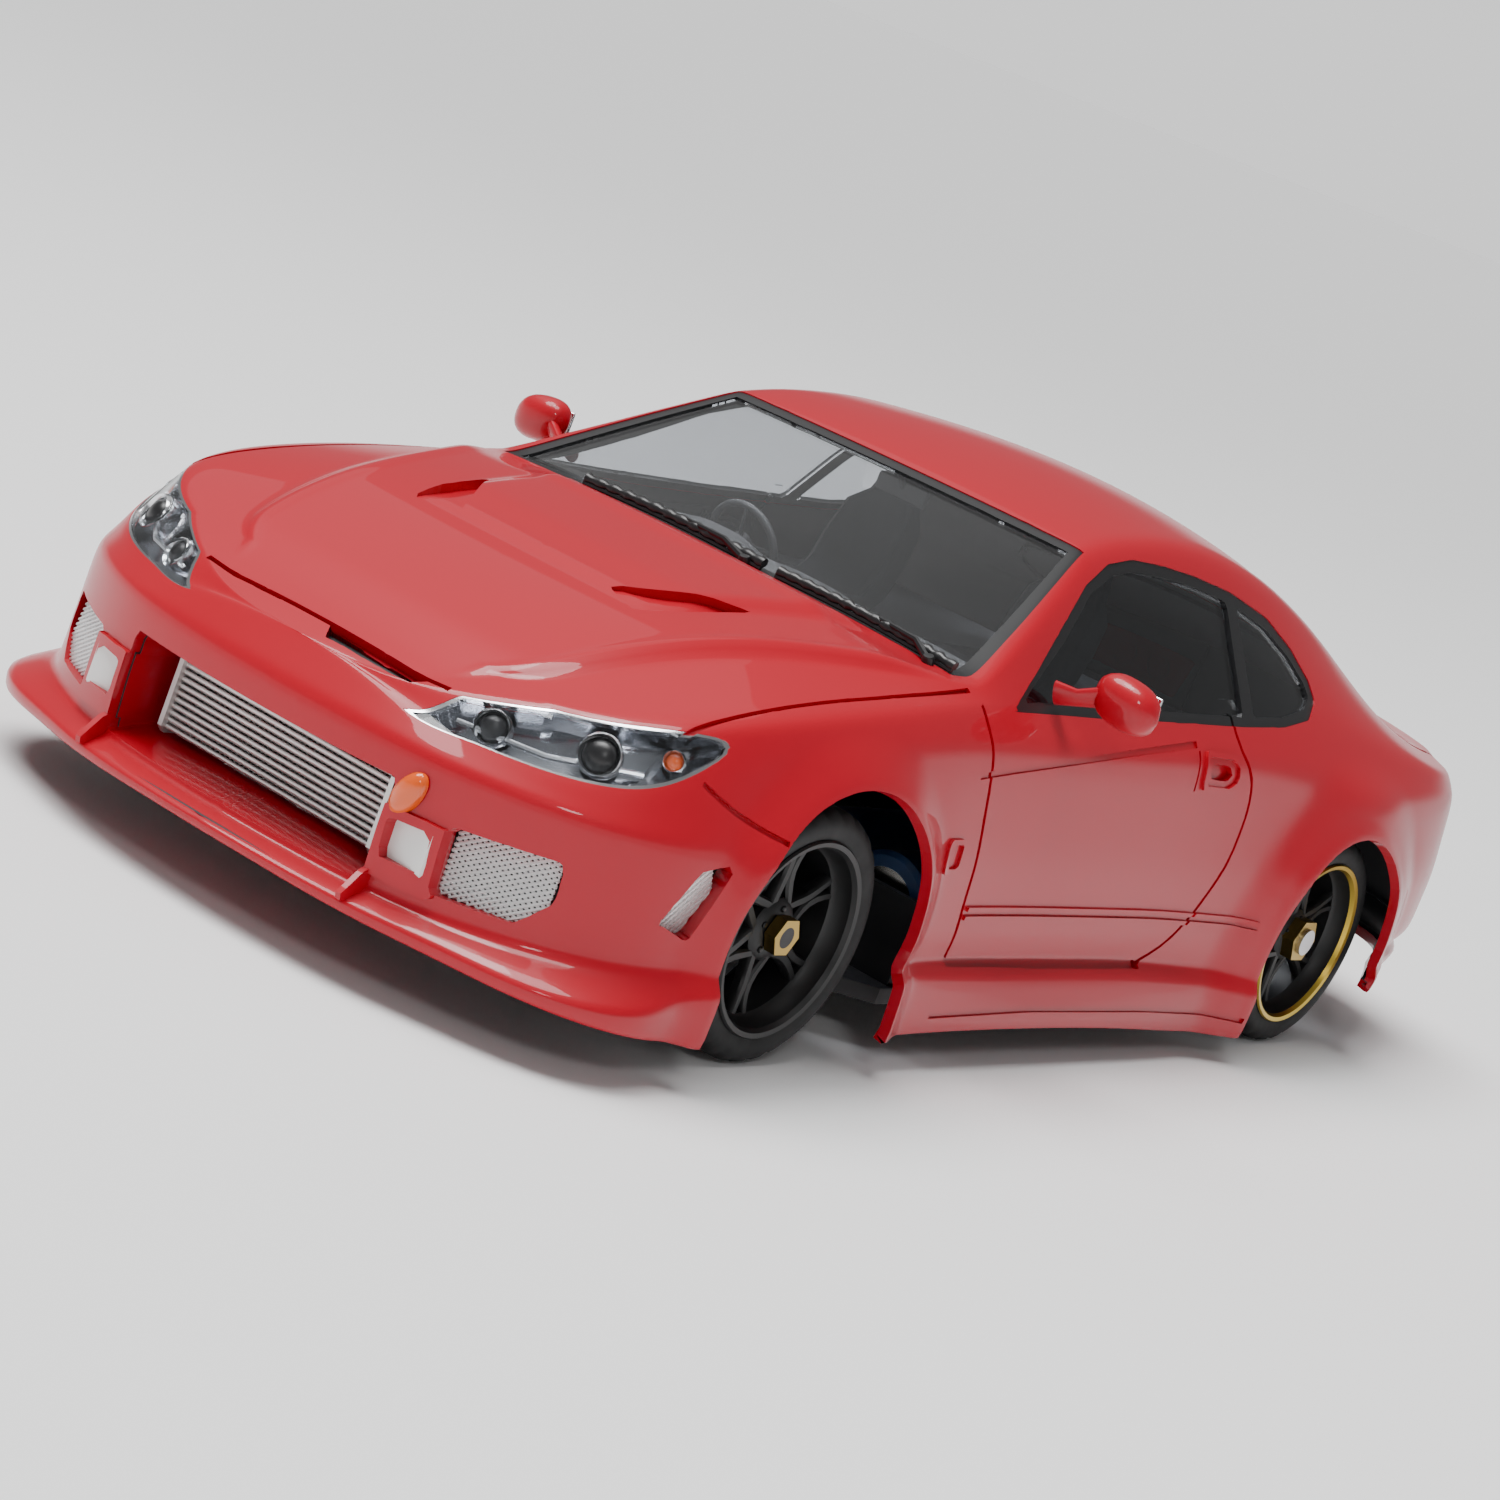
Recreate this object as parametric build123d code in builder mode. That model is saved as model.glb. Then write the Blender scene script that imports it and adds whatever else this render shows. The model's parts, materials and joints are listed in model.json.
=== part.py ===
"""A 1:24 radio-controlled drift car: a hard-plastic coupe body that lifts off a small rear-drive chassis.

Frame: +X towards the nose, +Y to the car's left, +Z up. The origin is on the ground, in the middle of the
car's bounding box. Lengths are in millimetres.
"""

import math
import os

from build123d import *

os.makedirs("parts", exist_ok=True)

# ---------------------------------------------------------------- driving dimensions
FRONT_AXLE_X = 53.8
REAR_AXLE_X = -50.4
TYRE_R = 12.2
AXLE_Z = TYRE_R
HALF_LENGTH = 92.5
WALL = 1.2  # thickness of the moulded body
GAP = 0.15  # glue and panel gap between pieces of the body

FRONT_TYRE = (26.4, 34.8)  # inner and outer faces, from the centre line
REAR_TYRE = (25.8, 34.8)
RIM_R = 9.3
KINGPIN_Y = 24.0
KINGPIN_R = 0.8
STEER_ARM = 7.0  # from the kingpin back to the drag bar's pin
STEER_LIMIT = 28.0  # degrees each way
HORN_R = 6.0
HORN_Z = 14.8
RUNNING_FIT = 0.05

PLATE_Z = 4.0  # underside of the chassis plate
DECK_Z = 5.6  # top of the chassis plate
ARM_T = 1.6
UPPER_ARM_Z = 19.6
KNUCKLE_Z = (9.4, 15.2)
POSTS = [(34.0, 17.5), (34.0, -17.5), (-24.6, 23.2), (-24.6, -23.2)]
POST_TOP = 24.0
MAGNET_R = 2.5
MAGNET_T = 1.5
TRAY_Z = POST_TOP + 2 * MAGNET_T + 0.4  # 0.4 of air between each pair of magnets

PIVOT_X = -25.5
PIVOT_Z = 7.4
PIVOT_R = 0.9
POD_SIDE = (13.0, 15.2)  # inner and outer faces of the pod's side plates
MODULE = 0.5
SPUR_TEETH = 36
PINION_TEETH = 12
MOTOR_X = REAR_AXLE_X + MODULE * (SPUR_TEETH + PINION_TEETH) / 2
MOTOR_R = 7.7
GEAR_Y = (16.5, 18.7)
AXLE_R = 1.5

# Body lines at each station: x, centre z, edge y, edge z, belt y, belt z, side y, sill y
STATIONS = [
    (91.4, 23.4, 8.0, 23.2, 10.0, 22.6, 11.0, 10.0),
    (88.0, 25.0, 15.0, 24.6, 20.0, 24.2, 21.5, 20.5),
    (78.0, 28.6, 20.0, 28.4, 29.8, 28.2, 32.6, 31.8),
    (62.0, 33.4, 21.4, 33.4, 32.6, 31.8, 36.4, 36.2),
    (54.0, 34.6, 23.4, 34.6, 33.0, 32.9, 36.8, 36.8),
    (32.6, 36.4, 29.6, 35.9, 32.0, 34.5, 35.4, 35.6),
    (20.0, 42.1, 27.0, 41.9, 31.6, 34.5, 35.0, 35.2),
    (8.0, 48.4, 23.0, 48.2, 31.6, 34.8, 35.0, 35.2),
    (-14.0, 52.4, 21.9, 50.6, 31.6, 35.4, 35.1, 35.3),
    (-36.0, 50.0, 22.2, 46.4, 31.4, 36.1, 36.3, 36.3),
    (-50.0, 45.4, 22.8, 41.9, 31.2, 35.4, 37.0, 37.0),
    (-74.0, 36.2, 24.0, 34.0, 30.0, 32.4, 35.4, 34.8),
    (-84.0, 33.8, 24.0, 31.8, 28.6, 30.8, 31.6, 31.0),
    (-89.5, 32.6, 23.4, 31.0, 25.6, 29.8, 26.4, 25.6),
    (-92.5, 31.8, 17.0, 30.6, 18.0, 29.4, 18.6, 18.0),
]
SILL_Z = 3.6
WAIST_Z = (12.0, 21.0)  # the side is flat between these heights

# Outlines of the openings: from above as (x, y), from the side as (x, z), from the front as y and z limits
WINDSHIELD = [(30.6, 28.8), (9.4, 22.6), (9.4, -22.6), (30.6, -28.8)]
REAR_WINDOW = [(-33.0, 20.4), (-58.0, 21.4), (-58.0, -21.4), (-33.0, -20.4)]
DOOR_GLASS = [(22.5, 36.2), (8.0, 45.4), (1.5, 47.8), (-8.0, 48.4), (-19.5, 47.4), (-19.8, 37.0)]
QUARTER_GLASS = [(-21.6, 37.4), (-21.6, 46.6), (-31.0, 43.4), (-37.6, 39.6), (-37.0, 37.9)]
HEADLIGHT = [(86.0, 14.2), (77.4, 23.5), (71.4, 31.0), (77.0, 31.4), (82.6, 27.2), (86.8, 19.0)]
FRONT_ARCH = (52.8, 12.0, 15.2)  # centre x, centre z and radius
REAR_ARCH = (-49.8, 11.2, 14.8)
GRILLE = (-15.2, 15.2, 8.2, 17.0)
FOG_OPENING = (21.8, 28.0, 10.6, 15.4)
LAMP_OPENING = (17.6, 20.8, 9.8, 12.8)
TAIL_OPENING = (7.8, 22.2, 22.2, 28.2)
BUMPER_TOP = 21.5
BUMPER_FLOOR = 6.0
SKIRT_TOP = 8.0

CENTRE = (Align.CENTER, Align.CENTER, Align.CENTER)
FROM_START = (Align.CENTER, Align.CENTER, Align.MIN)


# ---------------------------------------------------------------- helpers
def save(part, name):
    part.label = name
    export_step(part, f"parts/{name}.step")


def block(low, high, mode=Mode.ADD):
    """A box from its lowest to its highest corner."""
    sides = [b - a for a, b in zip(low, high)]
    middle = tuple((a + b) / 2 for a, b in zip(low, high))
    with Locations(middle):
        Box(*sides, mode=mode)


def bar(radius, start, end, mode=Mode.ADD):
    """A round bar from one point to another."""
    way = Vector(*end) - Vector(*start)
    with Locations(Plane(origin=start, z_dir=way)):
        Cylinder(radius, way.length, align=FROM_START, mode=mode)


def slab(outline, z_low, z_high, mode=Mode.ADD):
    """An outline seen from above, as (x, y) points, filled between two heights."""
    with BuildSketch(Plane.XY.offset(z_low)) as face:
        with BuildLine():
            Polyline(*outline, close=True)
        make_face()
    extrude(face.sketch, amount=z_high - z_low, mode=mode)


def side_slab(outline, y_low, y_high, mode=Mode.ADD):
    """An outline seen from the side, as (x, z) points, filled between two y values."""
    with BuildSketch(Plane.XZ.offset(-y_high)) as face:
        with BuildLine():
            Polyline(*outline, close=True)
        make_face()
    extrude(face.sketch, amount=y_high - y_low, dir=(0, -1, 0), mode=mode)


def both(outline):
    """A half outline on the left, closed with its mirror image on the right."""
    return outline + [(x, -y) for x, y in reversed(outline)]


def coil_spring(radius, wire_r, pitch, height):
    """A coil of round wire standing on the origin."""
    with BuildPart() as spring:
        with BuildLine() as coil:
            Helix(pitch=pitch, height=height, radius=radius)
        with BuildSketch(Plane(origin=coil.line @ 0, z_dir=coil.line % 0)):
            Circle(wire_r)
        sweep(path=coil.line)
    return spring.part


def shrunk(outline, amount):
    """The outline with every corner moved towards its middle by the given amount."""
    middle_x = sum(p[0] for p in outline) / len(outline)
    middle_y = sum(p[1] for p in outline) / len(outline)
    moved = []
    for x, y in outline:
        reach = math.hypot(x - middle_x, y - middle_y)
        share = (reach - amount) / reach
        moved.append((middle_x + (x - middle_x) * share, middle_y + (y - middle_y) * share))
    return moved


# ---------------------------------------------------------------- the moulded body
def section(station, inset, floor_z):
    """The closed outline of the body at a station, as (y, z) points, moved inwards by inset."""
    _, centre_z, edge_y, edge_z, belt_y, belt_z, side_y, sill_y = station
    shoulder_z = WAIST_Z[1] + 0.55 * (belt_z - WAIST_Z[1])
    half = [
        (sill_y - inset, floor_z),
        (side_y - inset, WAIST_Z[0]),
        (side_y - inset, WAIST_Z[1]),
        (0.7 * side_y + 0.3 * belt_y - 0.95 * inset, shoulder_z),
        (belt_y - 0.9 * inset, belt_z - 0.4 * inset),
        (edge_y - 0.7 * inset, edge_z - inset),
        (0.5 * edge_y, 0.7 * centre_z + 0.3 * edge_z - 1.05 * inset),
    ]
    return half + [(0.0, centre_z - 1.05 * inset)] + [(-y, z) for y, z in reversed(half)]


def hull(inset, floor_z=SILL_Z):
    """The body's outer form as one solid, moved inwards by inset."""
    lengths = []
    for front, back in zip(STATIONS, STATIONS[1:]):
        with BuildPart() as length:
            for station in (front, back):
                x = station[0] * (1 - inset / HALF_LENGTH)
                with BuildSketch(Plane.YZ.offset(x)):
                    with BuildLine():
                        Polyline(*section(station, inset, floor_z), close=True)
                    make_face()
            loft(ruled=True)
        lengths.append(length.part)
    return Part() + lengths


outer = hull(0.0)
skin = outer - hull(WALL, floor_z=SILL_Z - 3)

with BuildPart() as window_holes:
    slab(WINDSHIELD, 30, 60)
    slab(REAR_WINDOW, 30, 60)
    for sign in (-1, 1):
        for outline in (DOOR_GLASS, QUARTER_GLASS):
            side_slab(outline, *sorted((20 * sign, 45 * sign)))

with BuildPart() as bumper_holes:
    block((80, GRILLE[0], GRILLE[2]), (100, GRILLE[1], GRILLE[3]))
    for sign in (-1, 1):
        slab([(x, sign * y) for x, y in HEADLIGHT], 22, 40)
        for y_in, y_out, z_low, z_high in (FOG_OPENING, LAMP_OPENING):
            y_low, y_high = sorted((sign * y_in, sign * y_out))
            block((76, y_low, z_low), (100, y_high, z_high))
        y_low, y_high = sorted((sign * TAIL_OPENING[0], sign * TAIL_OPENING[1]))
        block((-100, y_low, TAIL_OPENING[2]), (-84, y_high, TAIL_OPENING[3]))
        for x, z, radius in (FRONT_ARCH, REAR_ARCH):
            bar(radius, (x, 22 * sign, z), (x, 50 * sign, z))
            y_low, y_high = sorted((22 * sign, 50 * sign))
            block((x - radius, y_low, 0), (x + radius, y_high, z - 6))

skin = skin - window_holes.part - bumper_holes.part

with BuildPart() as front_zone:
    block((FRONT_ARCH[0], -50, BUMPER_FLOOR), (100, 50, BUMPER_TOP))
with BuildPart() as rear_zone:
    block((-100, -50, BUMPER_FLOOR), (REAR_ARCH[0], 50, BUMPER_TOP))
with BuildPart() as shell_zone:
    block((REAR_ARCH[0] - 0.01, -50, SKIRT_TOP), (FRONT_ARCH[0] + 0.01, 50, 60))
    block((-100, -50, BUMPER_TOP + GAP), (100, 50, 60))

save(skin & front_zone.part, "front_bumper")
save(skin & rear_zone.part, "rear_bumper")
save(skin & shell_zone.part, "body_shell")

glass_outer = hull(0.3)
glass_inner = hull(1.0)


def glazing(outlines, name, from_above=True):
    """Glass panes that follow the body's surface inside the given outlines."""
    with BuildPart() as prisms:
        for outline, sign in outlines:
            if from_above:
                slab([(x, y * sign) for x, y in shrunk(outline, 0.3)], 22.1, 60)
            else:
                side_slab(shrunk(outline, 0.3), *sorted((20 * sign, 45 * sign)))
    save((glass_outer & prisms.part) - glass_inner, name)


glazing([(WINDSHIELD, 1)], "windshield")
glazing([(REAR_WINDOW, 1)], "rear_window")
SIDE_PANES = [(outline, sign) for outline in (DOOR_GLASS, QUARTER_GLASS) for sign in (1, -1)]
glazing(SIDE_PANES, "side_windows", from_above=False)
glazing([(HEADLIGHT, 1), (HEADLIGHT, -1)], "headlight_lenses")

with BuildPart() as front_lip:
    slab(both([(68.4, 37.4), (79.0, 38.4), (82.4, 38.0), (87.0, 31.0), (91.2, 19.0), (92.5, 8.0)]), 4.2, 5.8)
    slab(both([(60.0, 33.4), (79.0, 32.6), (84.4, 25.0), (88.0, 12.0)]), 4.0, 6.0, mode=Mode.SUBTRACT)
save(front_lip.part, "front_lip")

with BuildPart() as side_skirts:
    for sign in (-1, 1):
        y_low, y_high = sorted((sign * 33.4, sign * 36.8))
        outline = [(-33.6, 3.2), (36.0, 3.6), (36.6, SKIRT_TOP - GAP), (-34.0, SKIRT_TOP - GAP)]
        side_slab(outline, y_low, y_high)
    for sign in (-1, 1):
        y_low, y_high = sorted((sign * 30.0, sign * 35.6))
        block((-40, y_low, 4.6), (40, y_high, 9.0), mode=Mode.SUBTRACT)
save(side_skirts.part, "side_skirts")

with BuildPart() as headlight_buckets:
    for sign in (-1, 1):
        slab([(x, sign * y) for x, y in shrunk(HEADLIGHT, 2.4)], 20.4, 21.8)
        for x, y in ((83.0, 19.6), (79.2, 24.6)):
            bar(1.9, (x, sign * y, 21.8), (x, sign * y, 23.0))
save(headlight_buckets.part, "headlight_buckets")

with BuildPart() as taillights:
    for sign in (-1, 1):
        y_low, y_high = sorted((sign * (TAIL_OPENING[0] + 0.3), sign * (TAIL_OPENING[1] - 0.3)))
        block((-91.4, y_low, TAIL_OPENING[2] + 0.3), (-88.6, y_high, TAIL_OPENING[3] - 0.3))
save(taillights.part, "taillights")

with BuildPart() as intercooler:
    block((83.6, -15.4, 8.6), (86.8, 15.4, 16.6))
    for fin in range(6):
        z = 9.4 + 1.2 * fin
        block((86.2, -12.6, z), (88.0, 12.6, z + 0.6), mode=Mode.SUBTRACT)
save(intercooler.part, "intercooler")

with BuildPart() as bumper_meshes:
    for sign in (-1, 1):
        panel = [(83.6, 21.2), (79.6, 27.6), (79.0, 27.2), (83.0, 20.8)]
        slab([(x, sign * y) for x, y in panel], 10.2, 15.8)
save(bumper_meshes.part, "bumper_meshes")

with BuildPart() as bumper_lamps:
    for sign in (-1, 1):
        for y_in, y_out, x_low, x_high, z_low, z_high in (
            (17.8, 20.6, 86.4, 89.0, 10.0, 12.6),
            (16.0, 17.4, 89.9, 90.5, 13.8, 15.0),
        ):
            y_low, y_high = sorted((sign * y_in, sign * y_out))
            block((x_low, y_low, z_low), (x_high, y_high, z_high))
save(bumper_lamps.part, "bumper_lamps")

with BuildPart() as mirrors:
    for sign in (-1, 1):
        y_low, y_high = sorted((sign * 35.2, sign * 41.0))
        block((15.4, y_low, 36.2), (19.6, y_high, 40.6))
    fillet(mirrors.edges(), radius=1.2)
    for sign in (-1, 1):
        bar(0.7, (18.4, sign * 35.8, 37.2), (20.2, sign * 31.7, 36.4))
save(mirrors.part, "mirrors")

with BuildPart() as wipers:
    for y in (8.0, -12.0):
        bar(0.45, (32.4, y, 37.6), (24.8, y + 15, 41.2))
        bar(0.9, (32.4, y, 37.0), (32.4, y, 38.2))
save(wipers.part, "wipers")

# ---------------------------------------------------------------- the cabin on its tray
TRAY_T = 1.2
CABIN_Z = TRAY_Z + TRAY_T
STEERING_Y = -12.0

with BuildPart() as cabin_tray:
    slab(both([(-46.0, 32.4), (28.0, 32.4)]), TRAY_Z, CABIN_Z)
    block((-30.0, -2.4, CABIN_Z), (14.0, 2.4, CABIN_Z + 2.4))
save(cabin_tray.part, "cabin_tray")

with BuildPart() as seats:
    for y in (-12.0, 12.0):
        block((-11.0, y - 6.5, CABIN_Z), (4.0, y + 6.5, CABIN_Z + 3.0))
        side_slab([(-11, CABIN_Z), (-14.4, CABIN_Z), (-18.6, 44.4), (-15.6, 44.8)], y - 5.6, y + 5.6)
save(seats.part, "seats")

with BuildPart() as dashboard:
    profile = [(17.0, CABIN_Z + 1), (26.0, CABIN_Z), (27.6, 33.6), (21.0, 35.2), (17.0, 34.0)]
    side_slab(profile, -27.0, 27.0)
    bar(0.7, (17.6, STEERING_Y, 33.0), (13.6, STEERING_Y, 34.6))
    with Locations(Plane(origin=(13.4, STEERING_Y, 34.7), z_dir=(-4, 0, 1.7))):
        Torus(4.2, 0.5)
        Box(1.2, 8.4, 0.7)
save(dashboard.part, "dashboard")

with BuildPart() as body_magnets:
    for x, y in POSTS:
        bar(MAGNET_R, (x, y, TRAY_Z - MAGNET_T), (x, y, TRAY_Z))
save(body_magnets.part, "body_magnets")

# ---------------------------------------------------------------- the chassis
LOWER_SCREWS = [(58.6, 10.0), (58.6, -10.0)]
UPPER_SCREWS = [(FRONT_AXLE_X, 6.0), (FRONT_AXLE_X, -6.0)]
SERVO_SCREWS = [(35.4, 13.0), (35.4, -13.0)]
SCREW_R = 0.75
KINGPINS = [(FRONT_AXLE_X, KINGPIN_Y), (FRONT_AXLE_X, -KINGPIN_Y)]


def screw_holes(places, z_low, z_high):
    for x, y in places:
        bar(SCREW_R + RUNNING_FIT, (x, y, z_low), (x, y, z_high), mode=Mode.SUBTRACT)


def arm_outline(reach):
    """The half outline of a front arm plate: wide in the middle, narrow at the kingpin."""
    x = FRONT_AXLE_X
    return [(x - 3.0, 10.0), (x - 2.0, reach), (x + 2.0, reach), (x + 6.8, 13.0)]


with BuildPart() as chassis_plate:
    half = [(60.8, 13.0), (44.0, 13.0), (41.0, 21.5), (29.0, 31.0), (-20.5, 31.0), (-28.6, 27.0)]
    slab(both(half + [(-28.6, 17.2), (-22.8, 17.2)]), PLATE_Z, DECK_Z)
    for sign in (-1, 1):
        y_low, y_high = sorted((sign * 17.4, sign * 19.6))
        lug = [(-28.2, DECK_Z), (-27.4, PIVOT_Z + 2), (-23.6, PIVOT_Z + 2), (-22.8, DECK_Z)]
        side_slab(lug, y_low, y_high)
    bar(PIVOT_R + 0.01, (PIVOT_X, -30, PIVOT_Z), (PIVOT_X, 30, PIVOT_Z), mode=Mode.SUBTRACT)
    for x in (-12.0, 2.0, 16.0):
        block((x - 5, -5.0, PLATE_Z), (x + 5, 5.0, DECK_Z), mode=Mode.SUBTRACT)
    screw_holes(LOWER_SCREWS + SERVO_SCREWS, PLATE_Z, DECK_Z)
save(chassis_plate.part, "chassis_plate")

with BuildPart() as front_lower_arm:
    slab(both(arm_outline(KINGPIN_Y)), DECK_Z, DECK_Z + ARM_T)
    for x, y in KINGPINS:
        bar(2.0, (x, y, DECK_Z), (x, y, DECK_Z + ARM_T))
        bar(KINGPIN_R + RUNNING_FIT, (x, y, DECK_Z), (x, y, DECK_Z + ARM_T), mode=Mode.SUBTRACT)
    block((FRONT_AXLE_X - 2.6, -9.0, DECK_Z), (FRONT_AXLE_X + 2.6, 9.0, UPPER_ARM_Z))
    block((0, -3.6, DECK_Z + ARM_T + 2), (90, 3.6, UPPER_ARM_Z - 3), mode=Mode.SUBTRACT)
    screw_holes(LOWER_SCREWS, DECK_Z, DECK_Z + ARM_T)
    screw_holes(UPPER_SCREWS, UPPER_ARM_Z - 5, UPPER_ARM_Z)
save(front_lower_arm.part, "front_lower_arm")

with BuildPart() as front_upper_arm:
    slab(both(arm_outline(KINGPIN_Y)), UPPER_ARM_Z, UPPER_ARM_Z + ARM_T)
    for x, y in KINGPINS:
        bar(2.0, (x, y, UPPER_ARM_Z), (x, y, UPPER_ARM_Z + ARM_T))
        bar(KINGPIN_R + RUNNING_FIT, (x, y, UPPER_ARM_Z), (x, y, 30), mode=Mode.SUBTRACT)
    screw_holes(UPPER_SCREWS, UPPER_ARM_Z, UPPER_ARM_Z + ARM_T)
save(front_upper_arm.part, "front_upper_arm")

with BuildPart() as chassis_screws:
    screws = [(x, y, DECK_Z + ARM_T, 3.0) for x, y in LOWER_SCREWS + SERVO_SCREWS]
    screws += [(x, y, UPPER_ARM_Z + ARM_T, 4.6) for x, y in UPPER_SCREWS]
    for x, y, seat_z, length in screws:
        bar(SCREW_R, (x, y, seat_z - length), (x, y, seat_z))
        bar(1.5, (x, y, seat_z), (x, y, seat_z + 0.9))
        block((x - 0.9, y - 0.2, seat_z + 0.5), (x + 0.9, y + 0.2, seat_z + 1), mode=Mode.SUBTRACT)
save(chassis_screws.part, "chassis_screws")

with BuildPart() as steering_servo:
    block((29.6, -11.0, DECK_Z), (41.0, 11.0, 19.4))
    fillet(steering_servo.edges().filter_by(Axis.Z), radius=1.0)
    block((32.6, -14.6, DECK_Z), (38.2, 14.6, DECK_Z + ARM_T))
    bar(3.2, (41.0, 0, HORN_Z), (41.8, 0, HORN_Z))
    bar(1.3, (41.8, 0, HORN_Z), (44.4, 0, HORN_Z))
    screw_holes(SERVO_SCREWS, DECK_Z, DECK_Z + ARM_T)
save(steering_servo.part, "steering_servo")

with BuildPart() as servo_horn:
    bar(2.4, (42.2, 0, HORN_Z), (44.0, 0, HORN_Z))
    block((42.2, -1.3, HORN_Z - HORN_R), (44.0, 1.3, HORN_Z))
    bar(1.3, (42.2, 0, HORN_Z - HORN_R), (44.0, 0, HORN_Z - HORN_R))
    bar(0.6, (44.0, 0, HORN_Z - HORN_R), (47.0, 0, HORN_Z - HORN_R))
    bar(1.3 + RUNNING_FIT, (42.0, 0, HORN_Z), (45.0, 0, HORN_Z), mode=Mode.SUBTRACT)
save(servo_horn.part, "servo_horn")

PIN_X = FRONT_AXLE_X - STEER_ARM
BAR_Z = (6.8, 8.1)
EYE_X = (PIN_X - 0.1, PIN_X + STEER_ARM * (1 - math.cos(math.radians(STEER_LIMIT))) + 0.1)

with BuildPart() as drag_bar:
    block((PIN_X - 1.5, -KINGPIN_Y, BAR_Z[0]), (EYE_X[1] + 0.7, KINGPIN_Y, BAR_Z[1]))
    for sign in (-1, 1):
        for x in EYE_X:
            bar(1.6, (x, sign * KINGPIN_Y, BAR_Z[0]), (x, sign * KINGPIN_Y, BAR_Z[1]))
    block((44.8, -2.6, BAR_Z[0]), (46.4, 2.6, 12.2))
    for sign in (-1, 1):
        y_low, y_high = sign * KINGPIN_Y - 0.73, sign * KINGPIN_Y + 0.73
        block((EYE_X[0], y_low, 5), (EYE_X[1], y_high, 10), mode=Mode.SUBTRACT)
        for x in EYE_X:
            bar(0.73, (x, sign * KINGPIN_Y, 5), (x, sign * KINGPIN_Y, 10), mode=Mode.SUBTRACT)
    block((44, -0.76, 7.7), (50, 0.76, 11.0), mode=Mode.SUBTRACT)
save(drag_bar.part, "drag_bar")

for side, sign in (("left", 1), ("right", -1)):
    x, y = FRONT_AXLE_X, sign * KINGPIN_Y
    with BuildPart() as kingpin:
        bar(KINGPIN_R, (x, y, 4.2), (x, y, 22.6))
        bar(1.5, (x, y, 22.0), (x, y, 22.6))
        bar(1.4, (x, y, 8.6), (x, y, KNUCKLE_Z[0] - RUNNING_FIT))
    save(kingpin.part, f"kingpin_{side}")

    spring = Pos(x, y, KNUCKLE_Z[1] + 0.35) * coil_spring(1.35, 0.22, 0.87, 3.5)
    save(spring, f"front_spring_{side}")

    with BuildPart() as knuckle:
        block((x - 2.2, y - 2.0, KNUCKLE_Z[0]), (x + 2.2, y + 2.0, KNUCKLE_Z[1]))
        block((PIN_X, y - 1.1, KNUCKLE_Z[0]), (x, y + 1.1, KNUCKLE_Z[0] + 1.6))
        bar(1.1, (PIN_X, y, KNUCKLE_Z[0]), (PIN_X, y, KNUCKLE_Z[0] + 1.6))
        bar(0.6, (PIN_X, y, 5.9), (PIN_X, y, KNUCKLE_Z[0]))
        bar(1.6, (x, y + sign * 1.6, AXLE_Z), (x, y + sign * 3.4, AXLE_Z))
        bar(1.0, (x, y + sign * 1.6, AXLE_Z), (x, sign * 34.2, AXLE_Z))
        bar(KINGPIN_R + RUNNING_FIT, (x, y, 0), (x, y, 30), mode=Mode.SUBTRACT)
    save(knuckle.part, f"knuckle_{side}")

    with BuildPart() as wheel_nut:
        with BuildSketch(Plane.XZ.offset(-sign * 33.0)) as hexagon:
            with Locations((x, AXLE_Z)):
                RegularPolygon(1.9, 6)
                Circle(1.0, mode=Mode.SUBTRACT)
        extrude(hexagon.sketch, amount=1.2, dir=(0, sign, 0))
    save(wheel_nut.part, f"front_nut_{side}")


def tyre_part(x, y_in, y_out, sign):
    """A tyre with rounded shoulders, turned about the wheel's axis."""
    width = y_out - y_in
    with BuildPart() as tyre:
        with BuildSketch(Plane.XY) as profile:
            with BuildLine():
                Polyline(
                    (RIM_R, 0), (TYRE_R - 0.7, 0), (TYRE_R, 0.9), (TYRE_R, width - 0.9),
                    (TYRE_R - 0.7, width), (RIM_R, width), close=True,
                )
            make_face()
        revolve(profile.sketch, axis=Axis.Y)
    return Pos(x, sign * y_in if sign > 0 else -y_out, AXLE_Z) * tyre.part


def rim_part(x, y_in, y_out, sign, bore):
    """A deep-dish rim: barrel, hub and six spokes near the outer face."""
    y_face = y_out - 2.6
    with BuildPart() as rim:
        bar(RIM_R, (x, sign * (y_in + 0.2), AXLE_Z), (x, sign * (y_out - 0.2), AXLE_Z))
        bar(RIM_R - 0.8, (x, 0, AXLE_Z), (x, sign * 50, AXLE_Z), mode=Mode.SUBTRACT)
        for spoke in range(3):
            turn = math.radians(60 * spoke)
            with Locations(Location((x, sign * (y_face - 0.9), AXLE_Z), (0, 60 * spoke, 0))):
                Box(2.0, 1.8, 2 * RIM_R - 0.9)
        bar(3.0, (x, sign * (y_face - 2.6), AXLE_Z), (x, sign * y_face, AXLE_Z))
        bar(bore, (x, 0, AXLE_Z), (x, sign * 50, AXLE_Z), mode=Mode.SUBTRACT)
    return rim.part


for side, sign in (("left", 1), ("right", -1)):
    save(tyre_part(FRONT_AXLE_X, *FRONT_TYRE, sign), f"front_tyre_{side}")
    save(rim_part(FRONT_AXLE_X, *FRONT_TYRE, sign, 1.0 + RUNNING_FIT), f"front_rim_{side}")
    save(tyre_part(REAR_AXLE_X, *REAR_TYRE, sign), f"rear_tyre_{side}")
    save(rim_part(REAR_AXLE_X, *REAR_TYRE, sign, AXLE_R), f"rear_rim_{side}")

with BuildPart() as body_posts:
    for x, y in POSTS:
        bar(2.0, (x, y, DECK_Z), (x, y, POST_TOP))
        bar(2.6, (x, y, DECK_Z), (x, y, DECK_Z + 1.2))
        bar(2.6, (x, y, POST_TOP - 1.2), (x, y, POST_TOP))
save(body_posts.part, "body_posts")

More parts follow.
